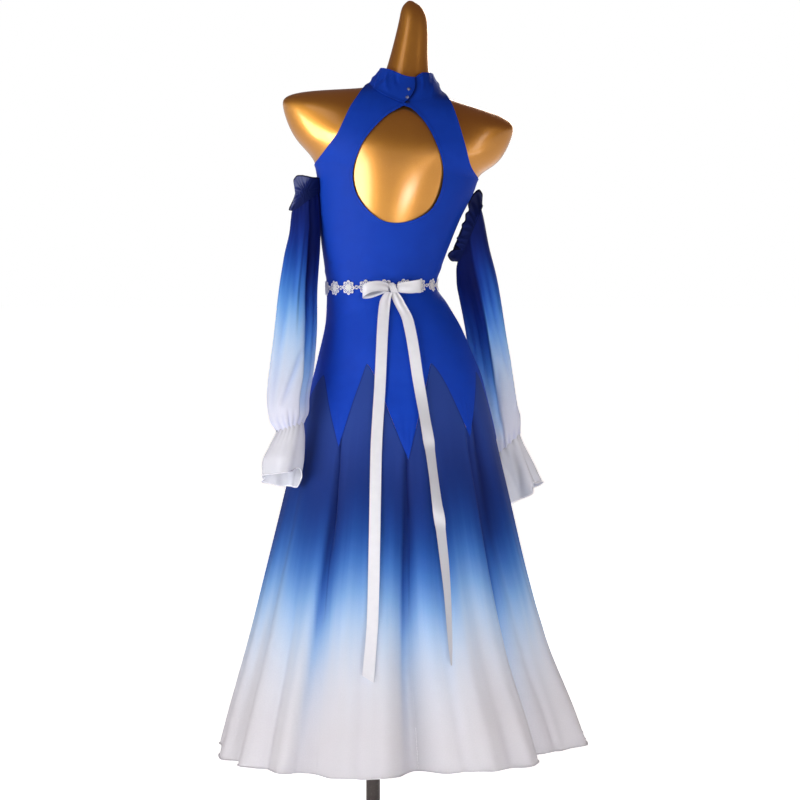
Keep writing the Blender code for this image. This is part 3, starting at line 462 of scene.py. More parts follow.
def split_finger_side(finger, angle, side, t):
    """The side seam, straight down the finger that it splits."""
    heights = [arch_edge(finger, godet, t)[1] for godet in (finger - 1, finger)]
    height = blend_to(heights[0], heights[1], 0.5)
    return angle + seam_angle(height, side), height


def armhole_angle(armholes, height, side, front):
    """The angle at which an armhole's edge crosses each height."""
    edge = rows_at(armholes, height / MM)[:, 0 if side < 0 else 1]
    centre, half = rows_at(BODY, height / MM)[:, :2].T
    angle = np.degrees(np.arcsin(np.clip((edge - centre) / half, -1.0, 1.0)))
    return 180.0 - angle if front else angle


def halter(front, share, climb):
    """Angles and heights of the halter above the underarm: share across, climb to the neck."""
    armholes = FRONT_ARMHOLES if front else BACK_ARMHOLES
    middle = NECK_FRONT if front else NECK_BACK
    top = blend_to(middle, NECK_SIDE, np.abs(2 * share - 1) ** NECK_CURVE)
    height = blend_to(UNDERARM, top, climb)
    first, last = (1, -1) if front else (-1, 1)
    start = armhole_angle(armholes, height, first, front)
    end = armhole_angle(armholes, height, last, front)
    return blend_to(start, end, share), height


def lay_sheet(name, columns, rows, place, size, marks=None):
    """A sheet of cloth, gridded flat and laid in place: place(across, down) gives its points.
    Its UV map, for its weave, spans size in metres, and marks are values that its material reads."""
    bpy.ops.object.select_all(action="DESELECT")
    bpy.ops.mesh.primitive_grid_add(x_subdivisions=columns, y_subdivisions=rows, size=1.0)
    sheet = bpy.context.object
    sheet.name = name
    flat = np.empty(3 * len(sheet.data.vertices), np.float32)
    sheet.data.vertices.foreach_get("co", flat)
    across, up = flat.reshape(-1, 3)[:, 0] + 0.5, flat.reshape(-1, 3)[:, 1] + 0.5
    across = np.round(across * columns) / columns
    down = 1.0 - np.round(up * rows) / rows
    sheet.data.vertices.foreach_set("co", place(across, down).astype(np.float32).ravel())
    weave = np.empty(2 * len(sheet.data.loops), np.float32)
    sheet.data.uv_layers[0].data.foreach_get("uv", weave)
    weave = (weave.reshape(-1, 2) * np.array(size)).astype(np.float32)
    sheet.data.uv_layers[0].data.foreach_set("uv", weave.ravel())
    for mark, worked_out in (marks or {}).items():
        attribute = sheet.data.attributes.new(mark, "FLOAT", "POINT")
        attribute.data.foreach_set("value", worked_out(across, down).astype(np.float32))
    sheet.data.update()
    return sheet


def join_pieces(name, pieces):
    """Joins pieces into the first of them."""
    bpy.ops.object.select_all(action="DESELECT")
    for piece in pieces:
        piece.select_set(True)
    bpy.context.view_layer.objects.active = pieces[0]
    if len(pieces) > 1:
        bpy.ops.object.join()
    pieces[0].name = name
    return pieces[0]


def join_up(name, sheets, gap=SEAM_MERGE):
    """Joins sheets that share edges into one, and merges the points where they meet."""
    joined = join_pieces(name, sheets)
    bpy.ops.object.mode_set(mode="EDIT")
    bpy.ops.mesh.select_all(action="SELECT")
    bpy.ops.mesh.remove_doubles(threshold=gap)
    bpy.ops.mesh.dissolve_degenerate(threshold=gap)
    bpy.ops.object.mode_set(mode="OBJECT")
    return joined


def give_thickness(sheet, thickness):
    """Turns a laid sheet into a thin closed shell, its outer face where it was laid."""
    use_modifier(sheet, "SOLIDIFY", thickness=thickness, offset=-1.0)
    bpy.ops.object.select_all(action="DESELECT")
    sheet.select_set(True)
    bpy.context.view_layer.objects.active = sheet
    bpy.ops.object.shade_smooth_by_angle(angle=math.radians(55))


def close_tube(sheet, thickness):
    """Merges the two sides of a sheet that is laid once round, and gives it its thickness."""
    join_up(sheet.name, [sheet], TUBE_MERGE)
    give_thickness(sheet, thickness)
    return sheet


def keyhole_outline(steps):
    """X and Z of points round the keyhole, on a smooth curve that is pointed at the top."""
    corners = np.array(KEYHOLE + KEYHOLE[:1], float)
    turns = np.zeros_like(corners)
    turns[1:-1] = (corners[2:] - corners[:-2]) / 2
    turns[0] = corners[1] - corners[0]
    turns[-1] = corners[-1] - corners[-2]
    points = []
    for low in range(len(corners) - 1):
        for t in np.arange(steps) / steps:
            ease = t * t * (3 - 2 * t)
            points.append(
                corners[low] * (1 - ease)
                + corners[low + 1] * ease
                + turns[low] * t * (1 - t) ** 2
                - turns[low + 1] * t * t * (1 - t)
            )
    return np.array(points) * MM


def from_keyhole(points, outline):
    """Distance of each point from the keyhole's outline, seen from behind."""
    if np.mean(points[:, 1]) > 0:
        return np.full(len(points), 1.0)
    nearest = np.full(len(points), 1.0)
    for x, z in outline:
        nearest = np.minimum(nearest, np.hypot(points[:, 0] - x, points[:, 2] - z))
    return np.where(points[:, 1] < 0, nearest, 1.0)


def from_armhole(share, height):
    """Distance of each point of the halter from its nearer armhole edge, about."""
    width = rows_at(BODY, height / MM)[:, 1] * MM
    return np.where(height > UNDERARM, np.minimum(share, 1 - share) * width * 2.0, 1.0)


def jersey_out(angle, height, from_edge):
    """How far the jersey's face stands out: wrinkles above the tips, strains, turned edges."""
    out = np.full(len(angle), JERSEY_FACE)
    for tip_angle, tip_height, _ in FINGERS:
        off = around(angle, tip_angle)
        for beside_tip, above, depth in TIP_WRINKLES:
            rise = (height / MM - tip_height) / above
            across = bell(off - beside_tip * (0.4 + rise), TIP_WRINKLE_WIDTH + rise)
            out += depth * MM * across * bell(rise - 0.35, 0.42)
    for middle, level, reach, half, depth, slope in STRAINS:
        off = around(angle, middle)
        out += depth * MM * bell(off, reach) * bell(height / MM - level - slope * off, half)
    return out + EDGE_RISE * (1 - smooth_step(EDGE_TURNED - 1.2 * MM, EDGE_TURNED, from_edge))


keyhole_points = keyhole_outline(14)


def bodice_half(front):
    """Half of the bodice, in strips that end in fingers, as one sheet."""
    start = 90.0 if front else -90.0
    rows = HALTER_ROWS + TRUNK_ROWS + FINGER_ROWS
    strips = []
    for strip in range(5):
        finger = (2 if front else -2) + strip
        columns = HALF_FINGER_COLUMNS if strip in (0, 4) else FINGER_COLUMNS

        def laid(across, down, strip=strip, finger=finger):
            """Angles, heights and distance from an edge for points of this strip."""
            row = down * rows
            t = np.clip((row - HALTER_ROWS - TRUNK_ROWS) / FINGER_ROWS, 0.0, 1.0)
            left = finger_side(finger, -1, start + 90.0, t)
            right = finger_side(finger, 1, start + 90.0, t)
            if strip == 0:
                left = split_finger_side(finger, start, 1, t)
            if strip == 4:
                right = split_finger_side(finger, start + 180.0, -1, t)
            angle = blend_to(left[0], right[0], across)
            foot = blend_to(left[1], right[1], across)
            trunk = np.clip((row - HALTER_ROWS) / TRUNK_ROWS, 0.0, 1.0)
            height = np.where(trunk < 1, blend_to(UNDERARM, foot, trunk), foot)
            share = (angle - start) / 180.0
            climb = np.clip(1 - row / HALTER_ROWS, 0.0, 1.0)
            halter_angle, halter_height = halter(front, share, climb)
            in_halter = row < HALTER_ROWS
            angle = np.where(in_halter, halter_angle, angle)
            height = np.where(in_halter, halter_height, height)
            return angle, height, from_armhole(share, height)

        def from_edge(across, down, laid=laid):
            angle, height, armhole = laid(across, down)
            return np.minimum(armhole, from_keyhole(on_torso(angle, height), keyhole_points))

        def place(across, down, laid=laid, from_edge=from_edge):
            angle, height, _ = laid(across, down)
            out = jersey_out(angle, height, from_edge(across, down))
            return moved_out(on_torso, angle, height, out)

        size = (STRIP_SIZE[0] * columns / FINGER_COLUMNS, STRIP_SIZE[1])
        strips.append(lay_sheet("strip", columns, rows, place, size, {"edge": from_edge}))
    name = "jersey_bodice_front" if front else "jersey_bodice_back"
    half = join_up(name, strips)
    give_thickness(half, JERSEY)
    return half


def read_mark(tree, mark):
    """A value that a sheet carries at its points."""
    return add_node(tree, "Attribute", attribute_name=mark).outputs["Fac"]


# Jersey: fine ribs of knit, a soft mottle, a needle line along the turned edges, and a painted shadow beside
# the collar's lapped end.
knit, knit_in, knit_out = new_group(
    "knit_ribs",
    {"Cloth": "Vector", "Ribs per Metre": "Float"},
    {"Height": "Float", "Mottle": "Float"},
)
split = add_node(knit, "SeparateXYZ", {"Vector": knit_in.outputs["Cloth"]})
ribs = math_node(knit, "MULTIPLY", split.outputs["X"], knit_in.outputs["Ribs per Metre"])
ribs = math_node(knit, "SINE", math_node(knit, "MULTIPLY", ribs, 2 * math.pi))
stitches = math_node(knit, "MULTIPLY", split.outputs["Y"], knit_in.outputs["Ribs per Metre"])
stitches = math_node(knit, "SINE", math_node(knit, "MULTIPLY", stitches, 1.6 * math.pi))
knit_height = math_node(knit, "ADD", ribs, math_node(knit, "MULTIPLY", stitches, 0.5))
knit.links.new(knit_height, knit_out.inputs["Height"])
mottle = add_node(knit, "TexNoise", {"Vector": knit_in.outputs["Cloth"], "Scale": 30.0, "Detail": 5.0})
knit.links.new(mottle.outputs["Fac"], knit_out.inputs["Mottle"])

blue_jersey, tree, shader = new_material(
    "blue_jersey",
    Sheen_Weight=0.06,
    Sheen_Roughness=0.4,
    Sheen_Tint=(0.10, 0.25, 1.0, 1.0),
    Specular_IOR_Level=0.12,
)
cloth_uv = add_node(tree, "UVMap").outputs["UV"]
ribs = use_group(tree, knit, {"Cloth": cloth_uv, "Ribs per Metre": 1100.0})
blue = mix_colour(tree, ribs.outputs["Mottle"], (0.0045, 0.046, 0.46), (0.0075, 0.064, 0.55))
needle = math_node(tree, "ABSOLUTE", math_node(tree, "SUBTRACT", read_mark(tree, "edge"), NEEDLE_LINE))
needle = ranged(tree, needle, (0.0, NEEDLE_WIDTH), (1.0, 0.0))
blue = mix_colour(tree, math_node(tree, "MULTIPLY", needle, 0.45), blue, (0.005, 0.02, 0.22))
# Painted shadow: the fold mark darkens the collar's under end beside its outer end's edge.
lap_shadow = math_node(tree, "MULTIPLY", read_mark(tree, "fold"), 0.85)
blue = mix_colour(tree, lap_shadow, blue, (0.002, 0.010, 0.09))
finish_shader(
    tree, shader, blue, ribs.outputs["Mottle"], (0.50, 0.64), ribs.outputs["Height"], 0.05 * MM, 0.6
)

back_half = bodice_half(False)
bpy.ops.mesh.primitive_circle_add(vertices=len(keyhole_points), fill_type="NGON")
cutter = bpy.context.object
for vertex, (x, z) in zip(cutter.data.vertices, keyhole_points):
    vertex.co = (x, KEYHOLE_BLOCK_Y, z)
use_modifier(cutter, "SOLIDIFY", thickness=KEYHOLE_BLOCK_DEPTH, offset=0.0)
bpy.ops.object.mode_set(mode="EDIT")
bpy.ops.mesh.select_all(action="SELECT")
bpy.ops.mesh.normals_make_consistent(inside=False)
bpy.ops.object.mode_set(mode="OBJECT")
use_modifier(back_half, "BOOLEAN", operation="DIFFERENCE", solver="MANIFOLD", object=cutter)
bpy.data.objects.remove(cutter, do_unlink=True)
hand_in(back_half, blue_jersey, "jersey", "bodice_back")

front_half = bodice_half(True)
hand_in(front_half, blue_jersey, "jersey", "bodice_front")


# ---------------------------------------------------------------- chiffon godets
# Eight panels of fine chiffon, arched between the fingers and flared to a wide hem, dyed by hand
# from navy at the top through light blue to greyish white. The hem is rolled.
HEM = 198 * MM
CHIFFON = 0.45 * MM
CHIFFON_FACE = FORM_GAP + 1.0 * MM
# Deep folds: angle at the hem, lean towards the top, top height, depth, width, skew.
DEEP_FOLDS = (
    (4.5, 1.5, 790, 52, 7.0, 0.55), (51.5, -1.5, 817, 46, 7.5, 0.45), (90.0, 0.0, 806, 14, 7.5, 0.0),
    (136.0, 1.0, 802, 38, 7.5, 0.15), (185.0, -1.0, 796, 44, 7.5, -0.2),
    (230.0, -1.0, 802, 38, 7.5, 0.15), (270.0, 0.0, 806, 12, 7.5, 0.0),
    (333.0, -7.0, 799, 16, 7.5, 0.2), (66.0, -2.0, 520, 16, 5.0, 0.0), (114.0, 2.0, 640, 26, 7.0, 0.0),
    (160.0, -3.0, 600, 22, 7.0, 0.0), (207.0, 2.0, 620, 24, 7.0, 0.0), (250.0, -2.0, 640, 24, 7.0, 0.0),
    (294.0, 4.0, 740, 24, 5.5, -0.15), (313.0, 3.0, 600, 15, 5.5, 0.15),
)
FOLD_GROWTH = 1.25
# Soft folds seen from behind: angle at the hem, lean, top height, depth (out is negative), width.
SOFT_FOLDS = (
    (-81.0, 4.0, 640, 6, 2.2), (-72.0, 3.0, 820, -6, 2.8), (-62.0, 3.0, 800, 8, 2.2),
    (-55.0, 3.0, 880, -6, 2.8), (-47.0, 3.0, 700, 7, 2.0), (-39.0, 2.0, 660, -6, 2.4),
    (-34.0, 3.0, 780, 6, 1.8), (-21.0, 1.0, 900, -6, 2.6), (-14.0, 1.0, 700, 5, 1.9),
    (-5.0, 0.5, 840, -9, 2.8), (13.5, 0.0, 860, -6, 2.2), (19.0, -1.0, 680, 5, 1.7),
    (27.0, -2.0, 900, -7, 2.8), (34.0, -2.0, 640, 5, 2.0), (40.0, -3.0, 780, -6, 2.2),
    (55.5, -3.0, 880, -7, 2.4), (61.0, -4.0, 700, 6, 2.0), (73.0, -4.0, 820, -6, 2.6),
    (81.0, -4.0, 620, 6, 2.2),
)
# Sharp folds, where a panel laps over the next: edge angle at the hem, lean, top height, depth,
# width to the right of the edge (to its left, below 0), and how far the dye runs in it, in mm: partly dye,
# partly painted shade.
SHARP_FOLDS = (
    (-0.6, 4.4, 812, 10, 9.5, 44), (-36.0, 1.5, 820, 9, 9.0, 46), (46.5, -2.5, 850, 14, 11.0, 44),
    (91.0, 1.0, 815, 9, 8.0, 30), (136.0, -2.0, 812, 13, -9.0, 50), (185.0, 4.0, 806, 15, 9.0, 70),
    (230.0, -2.0, 812, 13, -9.0, 50), (271.0, 1.0, 815, 8, 8.0, 30),
)
# Degrees over which a fold's edge rises: the sharp ones, and the rounder ones of sleeves and frills.
SHARPNESS, ROUND_EDGE = 0.9, 3.0
# Narrow pleats that start at the tips of the fingers: angle at the top and at the foot, top, foot,
# depth, width.
TIP_PLEATS = (
    (5.4, 6.5, 812, 600, 7, 2.6), (-34.0, -31.0, 822, 560, 11, 2.1), (54.0, 57.0, 880, 480, 14, 8.5),
    (91.0, 91.0, 815, 560, 9, 2.4), (137.0, 137.0, 815, 540, 12, 3.0),
    (184.0, 186.0, 806, 520, 12, 3.0), (229.0, 229.0, 815, 540, 12, 3.0),
    (270.0, 270.0, 815, 560, 9, 2.4),
)
CRUSHES, CRUSH_DEPTH = 110, 1.7
# On the sides that face away the same kind of folds follow each other, unevenly.
FAR_FOLDS_FROM, FAR_FOLDS_TO, FAR_FOLD_STEP = 96.0, 266.0, 8.5
folds_rng = np.random.default_rng(11)
HEM_ROLL = 0.9 * MM
HEM_WAVES = ((7, 1.5, 0.4), (13, 1.1, 2.1), (29, 0.7, 4.0))
ARCH_SHARE = 0.22
GODET_COLUMNS, GODET_ROWS, ROLL_ROWS = 56, 150, 5
GODET_SIZE = (0.25, 0.78)
CHIFFON_THREADS, CHIFFON_GRAIN = 1500.0, 420.0
# Where the dye runs lower (or higher, below 0): angle, how far in mm, width.
DYE_RUNS = (
    (18.0, 16, 5.0), (33.0, -40, 7.0), (-14.0, -24, 8.0), (-60.0, -30, 8.0), (66.0, -8, 4.0),
    (76.0, -28, 6.0), (92.0, 22, 5.0), (112.0, -24, 9.0), (160.0, -22, 9.0), (207.0, -24, 9.0),
    (250.0, -20, 8.0), (269.0, 24, 5.0),
)


def far_folds():
    """Uneven soft folds for the sides and the front."""
    angle, outward = FAR_FOLDS_FROM, 1.0
    while angle < FAR_FOLDS_TO:
        depth = -outward * folds_rng.uniform(5.0, 8.0)
        lean, top = folds_rng.uniform(-3, 3), folds_rng.uniform(620, 900)
        yield angle, lean, top, depth, folds_rng.uniform(1.8, 2.8)
        angle += FAR_FOLD_STEP * folds_rng.uniform(0.75, 1.25)
        outward = -outward


ALL_SOFT_FOLDS = SOFT_FOLDS + tuple(far_folds())


def one_sided(off, width, edge=SHARPNESS):
    """1 just beyond a sharp edge and 0 before it, fading over a signed width."""
    off = off * np.sign(width)
    return smooth_step(-edge, edge, off) * bell(np.maximum(off, 0.0), abs(width))


def place_in_fold(angle, height, hem_angle, lean, top):
    """How far down a fold a place is, from its top (0) to the hem (1), and its degrees from it."""
    grown = np.clip((top * MM - height) / (top * MM - HEM), 0.0, 1.1)
    return grown, around(angle, hem_angle + lean * (1 - grown))


def sharp_folds(angle, height):
    """For every sharp fold: its profile here, its depth and its run of dye, which partly stands for painted
    shade in the fold.
    """
    for hem_angle, lean, top, depth, width, run in SHARP_FOLDS:
        grown, off = place_in_fold(angle, height, hem_angle, lean, top)
        profile = one_sided(off, width * (0.62 + 0.38 * grown)) * smooth_step(0.0, 0.10, grown)
        yield profile, depth * MM * profile * (0.45 + 0.55 * grown), run * MM * profile


def tip_pleats(angle, height):
    """For every narrow pleat: its profile here and how far it draws the skirt in."""
    for top_angle, foot_angle, top, foot, depth, width in TIP_PLEATS:
        t = np.clip((top * MM - height) / ((top - foot) * MM), 0.0, 1.0)
        off = around(angle, blend_to(top_angle, foot_angle, t))
        profile = bell(off, width * (0.35 + 0.65 * t))
        profile = profile * smooth_step(0.0, 0.06, t) * (1 - smooth_step(0.5, 1.0, t))
        yield profile, depth * MM * profile * (0.35 + 0.65 * np.sqrt(t))


crush_places = np.stack(
    [
        folds_rng.uniform(0, 360, CRUSHES),
        folds_rng.uniform(215, 470, CRUSHES) * MM,
        folds_rng.uniform(1.2, 4.0, CRUSHES),
        folds_rng.uniform(7, 26, CRUSHES) * MM,
        folds_rng.normal(0, 0.6 * CRUSH_DEPTH, CRUSHES) * MM,
        folds_rng.normal(0, 2.5, CRUSHES) * MM,
    ],
    axis=-1,
)


def crushed(angle, height):
    """Faint creases that the hanging cloth has kept from being folded away."""
    depth = np.zeros(len(angle))
    for middle, level, reach, half, deep, slope in crush_places:
        off = around(angle, middle)
        near = np.abs(off) < 4 * reach
        along = bell(height[near] - level - slope * off[near], half)
        depth[near] += deep * bell(off[near], reach) * along
    return depth


def deep_folds(angle, height):
    """How far the deep folds draw the skirt in; each is steeper on one side."""
    depth = np.zeros(len(angle))
    for hem_angle, lean, top, full_depth, width, skew in DEEP_FOLDS:
        grown, off = place_in_fold(angle, height, hem_angle, lean, top)
        side = width * (1 + skew * np.tanh(off / width))
        depth += full_depth * MM * grown**FOLD_GROWTH * bell(off, side)
    return depth


def soft_folds(angle, height):
    """The small folds between them, in and out."""
    depth = np.zeros(len(angle))
    for hem_angle, lean, top, full_depth, width in ALL_SOFT_FOLDS:
        grown, off = place_in_fold(angle, height, hem_angle, lean, top)
        depth += full_depth * MM * grown**1.1 * bell(off, width * (1.35 - 0.35 * grown))
    return depth


def with_narrow_folds(depth, angle, height):
    """How far the skirt is drawn in, once the sharp folds and the narrow pleats are added."""
    for _, inward, _ in sharp_folds(angle, height):
        depth = depth + inward
    for _, inward in tip_pleats(angle, height):
        depth = depth + inward
    return depth


def on_skirt(angle, height):
    """The skirt's surface, with its folds and the slow waves of its hem."""
    depth = deep_folds(angle, height) + soft_folds(angle, height) + crushed(angle, height)
    points = on_rings(BODY, angle, height, with_narrow_folds(depth, angle, height))
    hanging = smooth_step(0.55, HEM, height)
    turn = np.radians(angle)
    for waves, rise, phase in HEM_WAVES:
        points[:, 2] += rise * MM * hanging * np.sin(waves * turn + phase)
    return points


def dye_level(angle, height):
    """Height at which the even dye would have this place's colour, in metres; in the sharp folds it is
    lowered partly as painted shade.
    """
    run = np.zeros(len(angle))
    for middle, drop, width in DYE_RUNS:
        run += drop * MM * bell(around(angle, middle), width)
    for _, _, fold_dye_and_shade in sharp_folds(angle, height):
        run += fold_dye_and_shade
    fine = 5 * MM * np.sin(np.radians(angle) * 23 + 1.0) + 3 * MM * np.sin(np.radians(angle) * 61)
    return height + run + fine


def fold_shade(angle, height):
    """How deep in a fold this place is, from 0 to 1: painted shade darkens the fold valleys, and in the
    pleats and lapped folds the cloth is also doubled.
    """
    shade = np.clip(soft_folds(angle, height) / (9 * MM), 0.0, 1.0) * 0.45
    for profile, _, _ in sharp_folds(angle, height):
        shade = np.maximum(shade, 0.7 * profile)
    for profile, _ in tip_pleats(angle, height):
        shade = np.maximum(shade, profile)
    return shade


def godet_edge(finger, godet, down):
    """Angle and height down a godet's edge: its arch to the finger's tip, then to the hem."""
    tip_angle, tip_height, hem_angle = FINGERS[finger % len(FINGERS)]
    top_angle = GODETS[godet][0]
    tip_angle = near_turn(tip_angle, top_angle)
    hem_angle = near_turn(hem_angle, tip_angle)
    angle, height = arch_edge(finger, godet, np.clip(down / ARCH_SHARE, 0.0, 1.0))
    t = np.clip((down - ARCH_SHARE) / (1 - ARCH_SHARE), 0.0, 1.0)
    falling = down > ARCH_SHARE
    angle = np.where(falling, blend_to(tip_angle, hem_angle, t), angle)
    return angle, np.where(falling, blend_to(tip_height * MM, HEM, t), height)


def make_godet(godet):
    """One arched, flared panel with its rolled hem."""
    rows = GODET_ROWS + ROLL_ROWS

    def laid(across, down):
        row = down * rows
        cut = np.clip(row / GODET_ROWS, 0.0, 1.0)
        roll = np.clip((row - GODET_ROWS) / ROLL_ROWS, 0.0, 1.0) * math.radians(290)
        left = godet_edge(godet, godet, cut)
        right = godet_edge(godet + 1, godet, cut)
        narrow = np.where(cut > 0, 1.0, 0.0)
        start = left[0] + narrow * seam_angle(left[1], 1)
        end = right[0] + narrow * seam_angle(right[1], -1)
        angle = blend_to(start, end, across)
        height = blend_to(left[1], right[1], across) - HEM_ROLL * np.sin(roll)
        return angle, height, CHIFFON_FACE + HEM_ROLL * (1 - np.cos(roll))

    def place(across, down):
        angle, height, out = laid(across, down)
        return moved_out(on_skirt, angle, height, out)

    def dye(across, down):
        angle, height, _ = laid(across, down)
        return dye_level(angle, height)

    # The fold mark: painted shade in the fold valleys, partly doubled cloth.
    def fold(across, down):
        angle, height, _ = laid(across, down)
        return fold_shade(angle, height)

    def seam(across, down):
        angle, height, _ = laid(across, down)
        left, right = laid(across * 0, down)[0], laid(across * 0 + 1, down)[0]
        radius = rows_at(BODY, height / MM)[:, 1] * MM
        return np.radians(np.minimum(angle - left, right - angle)) * radius

    panel = lay_sheet(
        f"chiffon_godet_{godet + 1}",
        GODET_COLUMNS,
        rows,
        place,
        GODET_SIZE,
        {"dye": dye, "seam": seam, "fold": fold},
    )
    join_up(panel.name, [panel])
    give_thickness(panel, CHIFFON)
    return panel


# Chiffon: a fine open weave with a crepe grain, dyed, darker along its seams, and darker in its folds,
# partly where the cloth is doubled and partly as painted shade.
weave, weave_in, weave_out = new_group(
    "open_weave",
    {"Cloth": "Vector", "Threads per Metre": "Float", "Grain Scale": "Float"},
    {"Height": "Float", "Grain": "Float"},
)
split = add_node(weave, "SeparateXYZ", {"Vector": weave_in.outputs["Cloth"]})
turns = math_node(weave, "MULTIPLY", weave_in.outputs["Threads per Metre"], math.pi)
warp = math_node(weave, "SINE", math_node(weave, "MULTIPLY", split.outputs["X"], turns))
weft = math_node(weave, "SINE", math_node(weave, "MULTIPLY", split.outputs["Y"], turns))
grain = add_node(
    weave,
    "TexNoise",
    {"Vector": weave_in.outputs["Cloth"], "Scale": weave_in.outputs["Grain Scale"], "Detail": 3.0},
)
crossed = math_node(weave, "MULTIPLY", warp, weft)
woven_height = math_node(weave, "ADD", math_node(weave, "MULTIPLY", crossed, 0.35), grain.outputs["Fac"])
weave.links.new(woven_height, weave_out.inputs["Height"])
weave.links.new(grain.outputs["Fac"], weave_out.inputs["Grain"])

# Dip dye: long faint streaks where the dye crept down the cloth unevenly.
dip_dye, dye_in, dye_out = new_group(
    "dip_dye",
    {"Cloth": "Vector", "Level": "Float", "Low": "Float", "High": "Float"},
    {"Share": "Float", "Streaks": "Float"},
)
stretched = add_node(dip_dye, "Mapping", {"Vector": dye_in.outputs["Cloth"], "Scale": (60.0, 2.5, 1.0)})
streaks = add_node(dip_dye, "TexNoise", {"Vector": stretched.outputs["Vector"], "Scale": 1.0, "Detail": 4.0})
shifted = math_node(dip_dye, "MULTIPLY", math_node(dip_dye, "SUBTRACT", streaks.outputs["Fac"], 0.5), 0.03)
shifted = math_node(dip_dye, "ADD", dye_in.outputs["Level"], shifted)
share = ranged(dip_dye, shifted, (dye_in.outputs["Low"], dye_in.outputs["High"]))
dip_dye.links.new(share, dye_out.inputs["Share"])
dip_dye.links.new(streaks.outputs["Fac"], dye_out.inputs["Streaks"])


def woven_cloth(tree, threads=CHIFFON_THREADS, grain=CHIFFON_GRAIN):
    """The grain and the height of an open weave, laid by the cloth's UV map."""
    cloth = add_node(tree, "UVMap").outputs["UV"]
    woven = use_group(tree, weave, {"Cloth": cloth, "Threads per Metre": threads, "Grain Scale": grain})
    return woven.outputs["Grain"], woven.outputs["Height"]


def dyed_chiffon(name, low, high, colours, alphas):
    """Chiffon dyed by level from low to high; colours are a row each: share, red, green, blue."""
    material, tree, shader = new_material(
        name, Sheen_Weight=0.02, Sheen_Roughness=0.5, Specular_IOR_Level=0.07
    )
    cloth = add_node(tree, "UVMap").outputs["UV"]
    level, seam, fold = (read_mark(tree, mark) for mark in ("dye", "seam", "fold"))
    dyed = use_group(tree, dip_dye, {"Cloth": cloth, "Level": level, "Low": low, "High": high})
    share = dyed.outputs["Share"]
    ramp = add_node(tree, "ValToRGB", {"Fac": share})
    ramp.color_ramp.interpolation = "B_SPLINE"
    for index, (place, *colour) in enumerate(colours):
        stop = ramp.color_ramp.elements[index] if index < 2 else ramp.color_ramp.elements.new(place)
        stop.position = place
        stop.color = (*colour, 1.0)
    grain, height = woven_cloth(tree)
    shade = ranged(tree, grain, to=(0.94, 1.06))
    colour = mix_colour(tree, 1.0, ramp.outputs["Color"], shade, "MULTIPLY")
    # Painted shade: the fold mark darkens the colour in the fold valleys, partly standing for doubled cloth.
    doubled_and_shaded = mix_colour(tree, 0.68, (0.92, 0.92, 0.92), colour)
    colour = mix_colour(tree, math_node(tree, "MULTIPLY", fold, 0.92), colour, doubled_and_shaded, "MULTIPLY")
    navy = ranged(tree, share, (0.40, 0.60))
    at_seam = math_node(tree, "MULTIPLY", ranged(tree, seam, (1.0 * MM, 3.2 * MM), (1.0, 0.0)), navy)
    colour = mix_colour(tree, math_node(tree, "MULTIPLY", at_seam, 0.5), colour, (0.006, 0.02, 0.16))
    tree.links.new(ranged(tree, share, (0.0, 0.35), alphas), shader.inputs["Alpha"])
    finish_shader(tree, shader, colour, grain, (0.55, 0.75), height, 0.06 * MM, 0.5)
    return material


SKIRT_DYE = (
    (0.0, 0.76, 0.755, 0.80), (0.13, 0.74, 0.76, 0.83), (0.24, 0.62, 0.70, 0.84),
    (0.34, 0.41, 0.59, 0.84), (0.43, 0.17, 0.37, 0.74), (0.52, 0.042, 0.16, 0.53),
    (0.62, 0.012, 0.054, 0.28), (0.76, 0.009, 0.028, 0.175), (0.90, 0.024, 0.058, 0.29),
    (1.0, 0.027, 0.064, 0.31),
)
skirt_chiffon = dyed_chiffon("ombre_skirt_chiffon", 0.26, 0.86, SKIRT_DYE, (0.84, 0.97))
for godet in range(len(GODETS)):
    panel = make_godet(godet)
    hand_in(panel, skirt_chiffon, "ombre_skirt", f"godet_{godet + 1}")


# ---------------------------------------------------------------- skirt lining
# A plain flared tube of thin dyed lining inside the godets, a hand's width shorter than they are.
LINING_HEM = 276 * MM
LINING_TOP = 836 * MM
LINING_FACE = 0.5 * MM
LINING_DRAWN_IN = 14 * MM
LINING_COLUMNS, LINING_ROWS = 200, 60
LINING_SIZE = (1.9, 0.6)
LINING_THICK = 0.3 * MM


def on_lining(angle, height):
    drawn_in = LINING_DRAWN_IN * (LINING_TOP - height) / (LINING_TOP - LINING_HEM)
    folds = deep_folds(angle, height) + soft_folds(angle, height)
    return on_rings(BODY, angle, height, with_narrow_folds(folds, angle, height) + drawn_in)


def lining_height(down):
    return blend_to(LINING_TOP, LINING_HEM, down)


def place_lining(across, down):
    return moved_out(on_lining, 360.0 * across, lining_height(down), LINING_FACE)


lining = lay_sheet(
    "skirt_lining_tube",
    LINING_COLUMNS,
    LINING_ROWS,
    place_lining,
    LINING_SIZE,
    {
        "dye": lambda across, down: dye_level(360.0 * across, lining_height(down)),
        "seam": lambda across, down: np.minimum(across, 1 - across) * LINING_SIZE[0],
    },
)
close_tube(lining, LINING_THICK)
lining_cloth = dyed_chiffon("dyed_lining", 0.26, 0.86, SKIRT_DYE, (0.98, 1.0))
hand_in(lining, lining_cloth, "skirt_lining", "skirt_lining")


